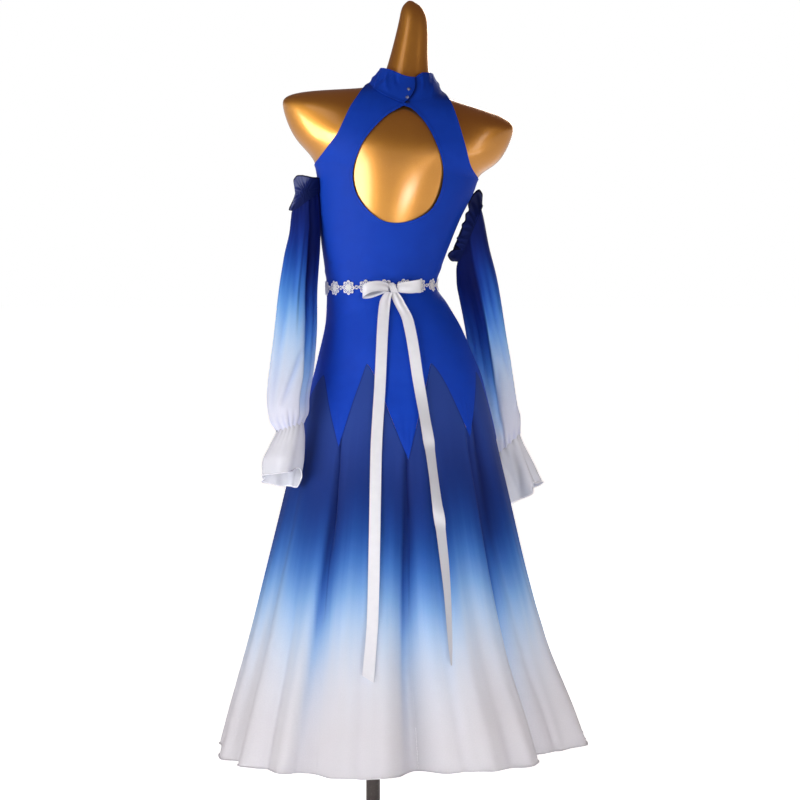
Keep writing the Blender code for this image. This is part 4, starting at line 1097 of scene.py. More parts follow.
# ---------------------------------------------------------------- stand collar
# A band of the same jersey round the neck. Its outer end laps over the other at the back, its top
# edge is stitched, and it crumples softly down the neck.
COLLAR_TOP = {"x": 67, "half": 50, "back": 52, "front": 49, "side": 1540, "dip": 12}
COLLAR_OUTER_END, COLLAR_UNDER_END = 9.0, -22.0
COLLAR_SLANT = 14.0
COLLAR_RIGHT_DROP, COLLAR_END_DROP = 11 * MM, 10 * MM
COLLAR_LIFT, COLLAR_LIFT_CLEAR, COLLAR_LIFT_SPAN = 3.2 * MM, 2.0, 10.0
COLLAR_SEAM_LIFT, COLLAR_SEAM_OUT = -1.6 * MM, 0.9 * MM
COLLAR_COLUMNS, COLLAR_ROWS = 230, 34
COLLAR_SIZE = (0.40, 0.062)
COLLAR_TALL = 60 * MM
COLLAR_LAP_SHADE = 5.0 * MM
# Crumples: angle, share of the height, half length round, half height share, depth, slope.
CRUMPLES = (
    (334.0, 0.55, 14.0, 0.10, 1.5, -0.022), (318.0, 0.34, 16.0, 0.09, 1.3, -0.020),
    (346.0, 0.78, 13.0, 0.08, -1.1, -0.024), (300.0, 0.62, 18.0, 0.10, -1.2, -0.014),
    (364.0, 0.42, 5.0, 0.13, 0.7, 0.03), (22.0, 0.60, 12.0, 0.10, 1.4, 0.024),
    (36.0, 0.36, 14.0, 0.09, 1.2, 0.020), (50.0, 0.66, 14.0, 0.10, -1.2, 0.016),
    (88.0, 0.46, 26.0, 0.12, 1.3, 0.006), (130.0, 0.62, 24.0, 0.12, -1.2, -0.008),
    (180.0, 0.40, 30.0, 0.12, 1.2, 0.004), (232.0, 0.60, 24.0, 0.12, -1.2, 0.008),
    (268.0, 0.42, 24.0, 0.12, 1.3, -0.008),
)


def neck_seam():
    """Angles and heights of the neck seam, once round from the side at +X and a bit beyond."""
    share = np.linspace(0.0, 1.0, 60)
    front_angle, front_height = halter(True, share, np.ones(60))
    back_angle, back_height = halter(False, share, np.ones(60))
    angle = np.concatenate([back_angle, front_angle, back_angle + 360.0, front_angle + 360.0])
    height = np.concatenate([back_height, front_height, back_height, front_height])
    order = np.argsort(angle)
    return angle[order], height[order]


seam_angles, seam_heights = neck_seam()


def collar_surface(angle, climb):
    """The collar's own surface, from above the neck seam (0) in to its top ring (1)."""
    wrapped = angle % 360.0
    foot = on_torso(angle, np.interp(wrapped, seam_angles, seam_heights))
    foot[:, 2] += COLLAR_SEAM_LIFT
    turn = np.radians(angle)
    depth = np.where(np.cos(turn) > 0, COLLAR_TOP["back"], COLLAR_TOP["front"])
    dip = COLLAR_TOP["dip"] * np.maximum(0.0, np.cos(turn)) ** 3
    top = np.stack(
        [
            COLLAR_TOP["x"] + COLLAR_TOP["half"] * np.sin(turn),
            -depth * np.cos(turn),
            COLLAR_TOP["side"] - dip,
        ],
        axis=-1,
    )
    top *= MM
    top[:, 2] -= COLLAR_RIGHT_DROP * np.maximum(0.0, np.sin(turn)) ** 1.5
    under_end = (1 - smooth_step(13.0, 38.0, angle)) * (angle < 180.0)
    top[:, 2] -= COLLAR_END_DROP * (smooth_step(318.0, 374.0, angle) + under_end)
    return foot + (top - foot) * climb[:, None]


def collar_out(angle, climb, out):
    """Points out from the collar's surface, lifted where its ends overlap."""
    across = collar_surface(angle + 0.2, climb) - collar_surface(angle - 0.2, climb)
    upwards = collar_surface(angle, climb * 0 + 1) - collar_surface(angle, climb * 0)
    normal = np.cross(across, upwards)
    normal /= np.linalg.norm(normal, axis=-1, keepdims=True)
    full_from = 360.0 + COLLAR_UNDER_END - COLLAR_LIFT_CLEAR
    lift = COLLAR_LIFT * np.clip(1 + (angle - full_from) / COLLAR_LIFT_SPAN, 0.0, 1.0)
    return collar_surface(angle, climb) + normal * (out + lift)[:, None]


def collar_outer_end(down):
    return 360.0 + COLLAR_OUTER_END + COLLAR_SLANT * (0.5 - down)


def collar_laid(across, down):
    return blend_to(COLLAR_UNDER_END, collar_outer_end(down), across), 1.0 - down


def collar_place(across, down):
    angle, climb = collar_laid(across, down)
    out = np.full(len(angle), JERSEY_FACE)
    overlapped = smooth_step(350.0, 356.0, angle) + 1 - smooth_step(6.0, 12.0, angle)
    out += COLLAR_SEAM_OUT * (1 - smooth_step(0.0, 0.13, climb))
    for middle, level, reach, half, depth, slope in CRUMPLES:
        off = angle - middle
        crumple = 1.5 * depth * MM * bell(off, reach) * bell(climb - level - slope * off, half)
        out += crumple * (1 - 0.75 * np.clip(overlapped, 0, 1))
    from_top = (1 - climb) * COLLAR_TALL
    return collar_out(angle, climb, out + EDGE_RISE * (1 - smooth_step(4.5 * MM, 5.5 * MM, from_top)))


def collar_edge(across, down):
    angle, climb = collar_laid(across, down)
    from_end = np.radians(collar_outer_end(down) - angle) * 55 * MM
    return np.minimum((1 - climb) * COLLAR_TALL, from_end * 1.6 + 3.2 * MM)


def collar_lap(across, down):
    """The shaded strip on the under end, beside the outer end's edge."""
    angle, climb = collar_laid(across, down)
    beyond = angle - COLLAR_OUTER_END - COLLAR_SLANT * (climb - 0.5)
    reach = COLLAR_LAP_SHADE / (4.0 * MM - 3.1 * MM * climb)
    return bell(np.maximum(beyond, 0.0), reach) * (angle < 180.0)


# The fold mark here carries a painted shadow beside the lapped end, which the jersey reads.
collar = lay_sheet(
    "jersey_collar",
    COLLAR_COLUMNS,
    COLLAR_ROWS,
    collar_place,
    COLLAR_SIZE,
    {"edge": collar_edge, "fold": collar_lap},
)
give_thickness(collar, JERSEY)
hand_in(collar, blue_jersey, "jersey", "collar")


# ---------------------------------------------------------------- buttons and hook
# Two faceted crystal buttons with a rim on the collar's outer end, and a bent wire hook at its foot.
BUTTON_RADIUS, BUTTON_DEPTH = 3.2 * MM, 2.6 * MM
BUTTON_SHARES = (0.52, 0.22)
BUTTON_ANGLES = (364.4, 363.7)
BUTTON_OFF = 0.35 * MM
HOOK_ANGLE, HOOK_SHARE, HOOK_OFF = 364.2, 0.02, 1.2 * MM
HOOK_WIRE = 0.45 * MM


def collar_frame(angle, climb, out):
    """A matrix on the collar: X across, Y up it, Z out of it."""
    at, here = np.array([angle]), np.array([climb])
    point = Vector(collar_out(at, here, np.array([out]))[0])
    normal = (Vector(collar_out(at, here, np.array([out + 1.0]))[0]) - point).normalized()
    side = Vector((0.0, 0.0, 1.0)).cross(normal).normalized()
    turned = Matrix((side, normal.cross(side), normal)).transposed()
    return Matrix.Translation(point) @ turned.to_4x4()


crystal, tree, shader = new_material(
    "clear_crystal", Metallic=0.0, Transmission_Weight=0.8, IOR=1.7, Coat_Weight=0.4
)
patches, specks = coated(tree, 900.0, 2600.0)
tint = mix_colour(tree, patches, (0.50, 0.58, 0.85), (0.80, 0.84, 1.0))
finish_shader(tree, shader, tint, specks, (0.03, 0.18))

bpy.ops.mesh.primitive_cone_add(
    vertices=12, radius1=BUTTON_RADIUS, radius2=0.5 * BUTTON_RADIUS, depth=BUTTON_DEPTH, location=(0, 0, 0)
)
cut_stone = bpy.context.object
bpy.ops.object.mode_set(mode="EDIT")
bpy.ops.mesh.select_all(action="SELECT")
bpy.ops.mesh.bevel(offset=0.28 * BUTTON_RADIUS, segments=1, affect="EDGES", clamp_overlap=True)
bpy.ops.mesh.remove_doubles(threshold=0.01 * MM)
bpy.ops.object.mode_set(mode="OBJECT")
bpy.ops.mesh.primitive_torus_add(
    major_radius=0.97 * BUTTON_RADIUS,
    minor_radius=0.16 * BUTTON_RADIUS,
    major_segments=36,
    minor_segments=8,
    location=(0, 0, -0.36 * BUTTON_DEPTH),
)
first_button = join_pieces("crystal_button_1", [cut_stone, bpy.context.object])
second_button = copy_of_mesh(first_button.data, "crystal_button_2")
for number, button in enumerate((first_button, second_button)):
    out = JERSEY_FACE + BUTTON_OFF + BUTTON_DEPTH / 2
    button.data.transform(collar_frame(BUTTON_ANGLES[number], BUTTON_SHARES[number], out))
    hand_in(button, crystal, "crystal", f"collar_button_{number + 1}")

black_wire, tree, shader = new_material("black_wire", Metallic=0.6, Specular_IOR_Level=0.4)
patches, specks = coated(tree, 500.0, 3000.0)
wire = mix_colour(tree, patches, (0.010, 0.010, 0.012), (0.028, 0.028, 0.032))
finish_shader(tree, shader, wire, specks, (0.3, 0.5))

rings = []
for across, up, size in ((-2.2, -0.6, 1.3), (-2.2, 1.4, 1.0), (1.9, 0.2, 1.5)):
    bpy.ops.mesh.primitive_torus_add(
        major_radius=size * MM,
        minor_radius=HOOK_WIRE,
        major_segments=24,
        minor_segments=8,
        location=(across * MM, up * MM, 0),
    )
    rings.append(bpy.context.object)
bpy.ops.mesh.primitive_cylinder_add(
    vertices=10, radius=HOOK_WIRE, depth=3.4 * MM, location=(-0.4 * MM, 0.2 * MM, 0.2 * MM)
)
shank = bpy.context.object
shank.data.transform(Matrix.Rotation(math.radians(90), 4, "Y"))
bpy.ops.object.mode_set(mode="EDIT")
bpy.ops.mesh.select_all(action="SELECT")
bpy.ops.mesh.bevel(offset=0.15 * MM, segments=2, affect="EDGES")
bpy.ops.object.mode_set(mode="OBJECT")
hook = join_pieces("wire_hook", [*rings, shank])
bpy.ops.object.transform_apply(location=True, rotation=True, scale=True)
bpy.ops.object.shade_smooth_by_angle(angle=math.radians(40))
hook.data.transform(collar_frame(HOOK_ANGLE, HOOK_SHARE, JERSEY_FACE + HOOK_OFF + 0.2 * MM))
hand_in(hook, black_wire, "hook_metal", "collar_hook")


# ---------------------------------------------------------------- sleeves
# Two loose sleeves of the same dyed chiffon, hung from under the armholes and gathered at the wrists.
# Each is a tube of tilted rings: height, X, Y, half width, half depth, tilt.
LEFT_SLEEVE = (
    (841, -159, -124, 26, 22, 19.0), (856, -161, -121, 38, 33, 12.0), (882, -162, -116, 42, 38, 4.0),
    (950, -154, -100, 45, 38, 0.0), (1025, -147, -80, 43, 36, 0.0), (1100, -143.5, -60, 39, 33, 0.0),
    (1172, -137, -38, 36, 30, 6.0), (1236, -131.5, -20, 33, 28, 22.0),
    (1280, -131, -10, 33.5, 27, 36.0),
)
RIGHT_SLEEVE = (
    (784, 267, 124, 42, 26, 42.0), (818, 262, 120, 44, 34, 26.0), (870, 252, 110, 45, 38, 0.0),
    (950, 240, 94, 44, 38, 0.0), (1025, 228, 74, 42, 36, 4.0), (1100, 214, 52, 43, 34, 18.0),
    (1155, 202, 34, 46, 32, 42.0), (1216, 193, 15, 60, 30, 67.0),
)
SLEEVE_COLUMNS, SLEEVE_ROWS = 120, 160
SLEEVE_SIZE, SLEEVE_GIRTH = (0.27, 0.47), 0.25
SLEEVE_CREASES, SLEEVE_CREASE_DEPTH = 3, 0.07
# Creases: angle, lean in degrees over its length, foot, top, depth, width.
LEFT_CREASES = (
    (24.0, -10.0, 930, 1262, 4.2, 9.0), (44.0, -6.0, 960, 1200, -2.2, 9.0),
    (-2.0, -22.0, 1110, 1250, -2.4, 11.0), (-22.0, -16.0, 1060, 1240, 2.6, 9.0),
    (2.0, 44.0, 872, 1004, 4.4, 8.0), (-16.0, 34.0, 868, 985, -2.6, 9.0),
    (-48.0, 8.0, 850, 1120, 2.8, 9.0), (62.0, -10.0, 850, 1090, 3.2, 9.0),
    (100.0, 8.0, 860, 1180, 3.6, 11.0), (-100.0, -10.0, 870, 1210, 3.4, 11.0),
    (150.0, 10.0, 880, 1230, 4.0, 11.0), (-150.0, -8.0, 860, 1160, 3.8, 11.0),
)
RIGHT_CREASES = (
    (10.0, -26.0, 930, 1190, 3.6, 9.0), (34.0, -22.0, 900, 1150, 4.4, 9.0),
    (-14.0, -24.0, 980, 1180, -2.8, 9.0), (-34.0, -10.0, 880, 1120, 3.6, 9.0),
    (-62.0, 10.0, 850, 1060, 3.0, 9.0), (52.0, 14.0, 830, 1010, -2.8, 9.0),
    (4.0, 26.0, 822, 960, 3.4, 8.0), (84.0, -10.0, 840, 1120, 3.4, 10.0),
    (-104.0, 8.0, 850, 1160, 3.6, 11.0), (124.0, -8.0, 860, 1150, 4.0, 11.0),
    (-152.0, 8.0, 860, 1140, 3.8, 11.0), (168.0, -8.0, 850, 1120, 3.4, 10.0),
)
WRIST_PLEATS, TOP_PLEATS = 17, 17
WRIST_PLEAT_REACH, TOP_PLEAT_REACH = 40 * MM, 34 * MM
# A sharp fold down each sleeve: its angle at the foot and at the top, depth, width, and run of dye beyond
# it, partly painted shade.
LEFT_FOLD = (34.0, 12.0, 5.0, 44.0, 92)
RIGHT_FOLD = (4.0, -4.0, 5.5, -88.0, 108)
WRIST_OVERHANG, WRIST_PUFF = 5.0 * MM, 1.8 * MM


def tube_of(rings, waves=0, wave_depth=0.0, wave_from=0.0, wave_to=1.0):
    """A soft tube through tilted rings; its lengthwise waves grow from one height to another."""

    def surface(angle, height, inward=0.0):
        x, y, half, depth, tilt = rows_at(rings, height / MM).T
        turn = np.radians(angle)
        reach = np.clip((height - wave_from) / (wave_to - wave_from), 0.0, 1.0)
        swell = (1 + wave_depth * reach * np.sin(waves * turn)) - inward / (half * MM)
        across = half * MM * np.sin(turn) * swell
        lean = np.radians(tilt)
        return np.stack(
            [
                x * MM + across * np.cos(lean),
                y * MM - depth * MM * np.cos(turn) * swell,
                height + across * np.sin(lean),
            ],
            axis=-1,
        )

    return surface


def wrist_pleats(turn):
    """The gathers at the wrist, from 0 in a valley to 1."""
    return np.abs(np.sin(0.5 * WRIST_PLEATS * turn + 0.9 * np.sin(3 * turn))) ** 0.7


def sleeve_creases(creases, foot, top, angle, height):
    """How far creases and the gathers at both ends draw a sleeve in."""
    inward = np.zeros(len(angle))
    for middle, lean, low, high, depth, width in creases:
        t = (height / MM - low) / (high - low)
        fades = smooth_step(-0.02, 0.3, t) * (1 - smooth_step(0.7, 1.02, t))
        off = around(angle, middle + lean * (t - 0.5))
        inward += depth * MM * fades * bell(off, width)
    turn = np.radians(angle)
    wrist = np.clip(1 - (height - foot) / WRIST_PLEAT_REACH, 0.0, 1.0)
    uneven = 0.68 + 0.32 * np.sin(turn * 5 + 1.3)
    inward += 5.6 * MM * wrist**1.3 * uneven * (0.58 - wrist_pleats(turn)) - WRIST_PUFF * wrist**6
    gathered = np.clip(1 - (top - height) / TOP_PLEAT_REACH, 0.0, 1.0)
    inward += 0.9 * MM * gathered * np.sin(TOP_PLEATS * turn + 1.1 * np.sin(2 * turn + 1))
    return inward


def make_sleeve(side, rings, creases, sharp_fold, dye_shift):
    """One sleeve; its dye runs lower by a shift, and lower still beyond its sharp fold, partly as painted
    shade there. Painted shade also darkens its creases and wrist gathers.
    """
    foot, top = rings[0][0] * MM, rings[-1][0] * MM
    tube = tube_of(rings, SLEEVE_CREASES, SLEEVE_CREASE_DEPTH, foot, blend_to(foot, top, 0.2))
    foot_angle, top_angle, fold_depth, fold_width, fold_dye_and_shade_run = sharp_fold

    def folded(angle, height):
        """The sharp fold's profile: 1 just beyond its edge, on the side by the body."""
        edge = blend_to(foot_angle, top_angle, (height - foot) / (top - foot))
        ends = smooth_step(-0.02, 0.12, (height - foot) / (top - foot))
        return one_sided(around(angle, edge), fold_width, ROUND_EDGE) * ends

    def surface(angle, height):
        inward = sleeve_creases(creases, foot, top, angle, height)
        points = tube(angle, height, inward + fold_depth * MM * folded(angle, height))
        at_wrist = np.clip(1 - (height - foot) / (14 * MM), 0.0, 1.0)
        turn = np.radians(angle)
        droop = 0.45 + 0.55 * np.sin(WRIST_PLEATS * turn + 1.8 * np.sin(3 * turn))
        points[:, 2] -= WRIST_OVERHANG * at_wrist**2 * droop
        return points

    def place(across, down):
        return surface(360.0 * across, blend_to(top, foot, down))

    def dye(across, down):
        turn = 2 * math.pi * across
        height = blend_to(top, foot, down)
        run = 6 * MM * np.sin(7 * turn + 0.8) + 4 * MM * np.sin(17 * turn)
        run = run + fold_dye_and_shade_run * MM * folded(360.0 * across, height) ** 0.6
        return surface(360.0 * across, height)[:, 2] + dye_shift + run

    # The fold mark: painted shade beyond the sharp fold, in the creases and in the valleys of the wrist
    # gathers.
    def fold(across, down):
        height = blend_to(top, foot, down)
        inward = sleeve_creases(creases, foot, top, 360.0 * across, height)
        at_wrist = np.clip(1 - (height - foot) / (30 * MM), 0.0, 1.0)
        valley = 1 - wrist_pleats(2 * math.pi * across)
        shade = np.maximum(0.75 * folded(360.0 * across, height), np.clip(inward / (5 * MM), 0.0, 1.0))
        return np.clip(np.maximum(shade, 2.4 * at_wrist**1.3 * valley), 0.0, 1.0)

    def seam(across, down):
        return np.minimum(across, 1 - across) * SLEEVE_GIRTH

    sleeve = lay_sheet(
        f"chiffon_sleeve_{side}",
        SLEEVE_COLUMNS,
        SLEEVE_ROWS,
        place,
        SLEEVE_SIZE,
        {"dye": dye, "fold": fold, "seam": seam},
    )
    return close_tube(sleeve, CHIFFON)


SLEEVE_DYE = (
    (0.0, 0.82, 0.84, 0.97), (0.16, 0.74, 0.81, 0.98), (0.32, 0.58, 0.74, 0.98),
    (0.46, 0.31, 0.57, 0.95), (0.58, 0.10, 0.34, 0.86), (0.72, 0.020, 0.115, 0.58),
    (0.86, 0.009, 0.034, 0.30), (1.0, 0.005, 0.013, 0.13),
)
sleeve_chiffon = dyed_chiffon("ombre_sleeve_chiffon", 0.86, 1.26, SLEEVE_DYE, (0.76, 0.94))
for side, rings, creases, sharp_fold, shift in (
    ("left", LEFT_SLEEVE, LEFT_CREASES, LEFT_FOLD, 4 * MM),
    ("right", RIGHT_SLEEVE, RIGHT_CREASES, RIGHT_FOLD, 46 * MM),
):
    sleeve = make_sleeve(side, rings, creases, sharp_fold, shift)
    hand_in(sleeve, sleeve_chiffon, "ombre_sleeve", f"sleeve_{side}")


# ---------------------------------------------------------------- wrist frills
# White chiffon frills below the wrist gathers, flared and waved, each with a rolled white rim, with painted
# shade in their gathers and folds.
LEFT_FRILL = (
    (725, -178, -142, 36, 33, 0.0),
    (766, -175, -136, 40, 33, 4.0),
    (805, -167, -129, 36, 29, 13.0),
    (840, -159, -124, 27, 23, 19.0),
)
RIGHT_FRILL = (
    (694, 309, 132, 44, 34, 26.0),
    (735, 291, 129, 42, 32, 30.0),
    (760, 277, 126, 43, 30, 38.0),
    (783, 267, 124, 43, 27, 42.0),
)
FRILL_COLUMNS, FRILL_ROWS, FRILL_ROLL = 160, 50, 5
FRILL_SIZE, FRILL_LONG = (0.42, 0.105), 0.1
FRILL_WAVES, FRILL_WAVE_DEPTH = 5, 0.14
FRILL_GATHERS, LAP_FADE = 17, 70.0
RIM_ROLL = 0.8 * MM
# Each frill's rim: a lapped fold's angle there, its lean, drop and depth, and the depth of the soft
# folds; then how the rim rises and falls round the wrist.
LEFT_RIM = (-50.0, 0.0, 0.0, 2.0, 1.5)
LEFT_RISE = (
    (0, 26), (45, 31), (72, 35), (96, 14), (112, -4), (180, -3), (220, 2), (250, 8), (270, 14),
    (320, 23), (360, 26),
)
RIGHT_RIM = (20.0, 38.0, 20.0, 10.0, 4.5)
RIGHT_RISE = ((0, -2), (90, 0), (180, 2), (270, 0), (360, -2))

white_chiffon, tree, shader = new_material(
    "white_chiffon", Sheen_Weight=0.3, Sheen_Roughness=0.5, Specular_IOR_Level=0.3
)
grain, height = woven_cloth(tree)
white = mix_colour(tree, grain, (0.80, 0.83, 0.92), (0.90, 0.92, 0.98))
# Painted shade: the fold mark darkens the frill in its gathers, in its folds and beside its lapped fold.
gather_shade = math_node(tree, "MULTIPLY", read_mark(tree, "fold"), 0.8)
white = mix_colour(tree, gather_shade, white, (0.36, 0.37, 0.43))
rim = ranged(tree, read_mark(tree, "edge"), (0.0, 2.0 * MM), (1.0, 0.0))
white = mix_colour(tree, rim, white, (0.90, 0.91, 0.96))
tree.links.new(ranged(tree, rim, to=(0.72, 1.0)), shader.inputs["Alpha"])
finish_shader(tree, shader, white, grain, (0.55, 0.75), height, 0.06 * MM, 0.5)


def frill_gathers(turn, phase):
    return np.sin(FRILL_GATHERS * turn + 1.6 * np.sin(3 * turn + phase))


def frill_folds(turn, phase):
    return np.sin(4 * turn + phase + 0.8 * np.sin(2 * turn))


def gathered(across, down, phase):
    """How deep in the gathers under the wrist a place is, from 0 to 1, used as painted shade in the gather
    valleys, along the gathered top and in the soft folds.
    """
    turn = 2 * math.pi * across
    valley = 0.5 + 0.5 * frill_gathers(turn, phase)
    soft = np.clip(frill_folds(turn, phase), 0.0, 1.0) * down
    return 0.8 * valley**2 * np.exp(-9 * down) + 0.4 * np.exp(-60 * down) + 0.3 * soft


def lapped(angle, grown, rim_shape):
    """How far under the lapped fold a place is, how deep in the valley beside it, and its degrees
    beyond the fold's edge."""
    lap_angle, lap_lean = rim_shape[:2]
    beyond = around(angle, lap_angle + lap_lean * (1 - grown))
    under = one_sided(beyond, LAP_FADE, ROUND_EDGE)
    valley = bell(beyond + 30.0, 10.0) * np.sin(math.pi * np.clip(grown, 0.0, 1.0))
    return under, valley, beyond


def make_frill(side, rings, rim_shape, rises, phase):
    """One frill, gathered at its top, flared in broad waves and rolled outwards at its rim."""
    rim, top = rings[0][0] * MM, rings[-1][0] * MM
    tube = tube_of(rings, FRILL_WAVES, FRILL_WAVE_DEPTH, top, rim)
    rows = FRILL_ROWS + FRILL_ROLL
    lap_drop, lap_depth, soft = rim_shape[2:]

    def surface(angle, height):
        turn = np.radians(angle)
        grown = np.clip((top - height) / (top - rim), 0.0, 1.1)
        gathers = 2.2 * grown**0.5 * np.exp(-6 * grown) * frill_gathers(turn, phase)
        folds = soft * grown**1.5 * frill_folds(turn, phase)
        folds = folds + 0.5 * soft * grown * (1 - 0.5 * grown) * np.sin(9 * turn + 2 * phase + 1.5 * grown)
        lap, valley, _ = lapped(angle, grown, rim_shape)
        depth = gathers + folds + lap_depth * (lap * grown**0.5 + 0.5 * valley)
        points = tube(angle, height, depth * MM)
        rise = rows_at(rises, np.mod(angle, 360.0))[:, 0] + lap_drop * (lap - 0.5)
        points[:, 2] += rise * MM * grown**1.5
        return points

    # The fold mark: painted shade in the gathers, beside the lapped fold's edge and in the valley next to
    # it.
    def fold(across, down):
        _, valley, beyond = lapped(360.0 * across, down, rim_shape)
        edge = smooth_step(-2.0, 3.0, beyond) * np.exp(-np.maximum(beyond, 0.0) / 16.0) * np.sqrt(down)
        return np.maximum(gathered(across, down, phase), 0.08 * lap_depth * np.maximum(edge, 0.8 * valley))

    def place(across, down):
        cut = np.clip(down * rows / FRILL_ROWS, 0.0, 1.0)
        roll = np.clip((down * rows - FRILL_ROWS) / FRILL_ROLL, 0.0, 1.0) * math.radians(300)
        height = blend_to(top, rim, cut) - RIM_ROLL * np.sin(roll)
        return moved_out(surface, 360.0 * across, height, RIM_ROLL * (1 - np.cos(roll)))

    def from_rim(across, down):
        return (1 - np.clip(down * rows / FRILL_ROWS, 0, 1)) * FRILL_LONG

    frill = lay_sheet(
        f"white_frill_{side}",
        FRILL_COLUMNS,
        rows,
        place,
        FRILL_SIZE,
        {"edge": from_rim, "fold": fold},
    )
    return close_tube(frill, CHIFFON)


for side, rings, rim_shape, rises, phase in (
    ("left", LEFT_FRILL, LEFT_RIM, LEFT_RISE, 0.4),
    ("right", RIGHT_FRILL, RIGHT_RIM, RIGHT_RISE, 2.2),
):
    frill = make_frill(side, rings, rim_shape, rises, phase)
    hand_in(frill, white_chiffon, "white_frill", f"sleeve_frill_{side}")


# ---------------------------------------------------------------- navy ruffles
# Strips of sheer navy chiffon gathered round the open tops of the sleeves, each crumpled into small
# lobes and bound with a fine dark edge.
# The free edges: angle, how far out from the gathered end, how far across, how high.
LEFT_RUFFLE = (
    (0, 5, -3, 50), (8, 4, -2, 45), (30, 4, -2, 35), (60, 2, 0, 26), (90, 1, 0, 25), (120, 3, 0, 28),
    (180, 5, 0, 42), (220, 3, 2, 42), (246, 1, 5, 14), (256, 1, 2, 4), (264, 2.5, -5, 5),
    (270, 3.5, -7.5, 9), (276, 3.5, -6.5, 12), (283, 3, -3, 17), (289, 3, 2, 24), (295, 3, 4, 32),
    (303, 3, 2, 45), (311, 4, -4, 53), (320, 5, -7, 61), (332, 5, -7, 63), (348, 5, -5, 57),
    (360, 5, -3, 50),
)
RIGHT_RUFFLE = (
    (0, 4, 0, 20), (9, 5, 0, 22.5), (18, 3, 0, 19.5), (28, 5, 0, 24), (38, 2, 0, 21), (48, 5, 0, 26),
    (60, 8, 0, 27), (72, 15, 0, 26), (82, 23, 0, 21), (90, 26, 0, 16), (98, 20, 0, 6), (108, 8, 0, 2),
    (125, 3, 0, 7), (150, 4, 0, 15), (180, 4, 0, 19), (222, 4, 0, 18), (244, 2, 0, 8), (256, 3, 0, 5),
    (263, 4, 0, 8), (270, 4.5, 0, 12.5), (279, 2, 0, 20), (289, 1, 0, 23), (300, 1, 0, 24),
    (308, 0, 0, 22), (314, 0, 0, 18), (318, -1, 0, 12), (322, -1, 0, 7), (326, 1, 0, 15),
    (331, 3, 0, 20), (337, 1, 0, 16), (344, 4, 0, 21), (352, 2, 0, 18), (360, 4, 0, 20),
)
RUFFLE_CLEAR, RUFFLE_TUCK = 1.3 * MM, 3.0 * MM
RUFFLE_COLUMNS, RUFFLE_ROWS = 340, 26
RUFFLE_SIZE, RUFFLE_GRAIN, RUFFLE_THICK = (0.40, 0.04), 380.0, 0.35 * MM
# Creases fan out from where each strip is pinned: its X and Z, creases in a full turn.
LEFT_PINNED = (-132.0, 1295.0, 22)
RIGHT_PINNED = (248.0, 1193.0, 38)
RUFFLE_CREASE = 1.3 * MM

navy_chiffon, tree, shader = new_material(
    "navy_chiffon", Sheen_Weight=0.02, Sheen_Roughness=0.5, Specular_IOR_Level=0.05
)
grain, height = woven_cloth(tree, grain=RUFFLE_GRAIN)
# The fold mark: doubled layers are darker and less sheer, and painted shade darkens the crease valleys. The
# cloth is also darker towards the gathered end, and the left ruffle on the side by the body.
plies_and_shade = read_mark(tree, "fold")
navy = mix_colour(tree, grain, (0.010, 0.020, 0.13), (0.016, 0.030, 0.17))
navy = mix_colour(tree, ranged(tree, plies_and_shade, (0.0, 0.4), (1.0, 0.0)), navy, (0.085, 0.105, 0.27))
navy = mix_colour(tree, ranged(tree, plies_and_shade, (0.35, 1.0)), navy, (0.004, 0.010, 0.075))
bound = ranged(tree, read_mark(tree, "edge"), (2.2 * MM, 3.6 * MM), (1.0, 0.0))
navy = mix_colour(tree, bound, navy, (0.002, 0.004, 0.03))
doubled = math_node(tree, "MAXIMUM", plies_and_shade, bound)
tree.links.new(ranged(tree, doubled, to=(0.80, 0.99)), shader.inputs["Alpha"])
finish_shader(tree, shader, navy, grain, (0.5, 0.7), height, 0.06 * MM, 0.5)


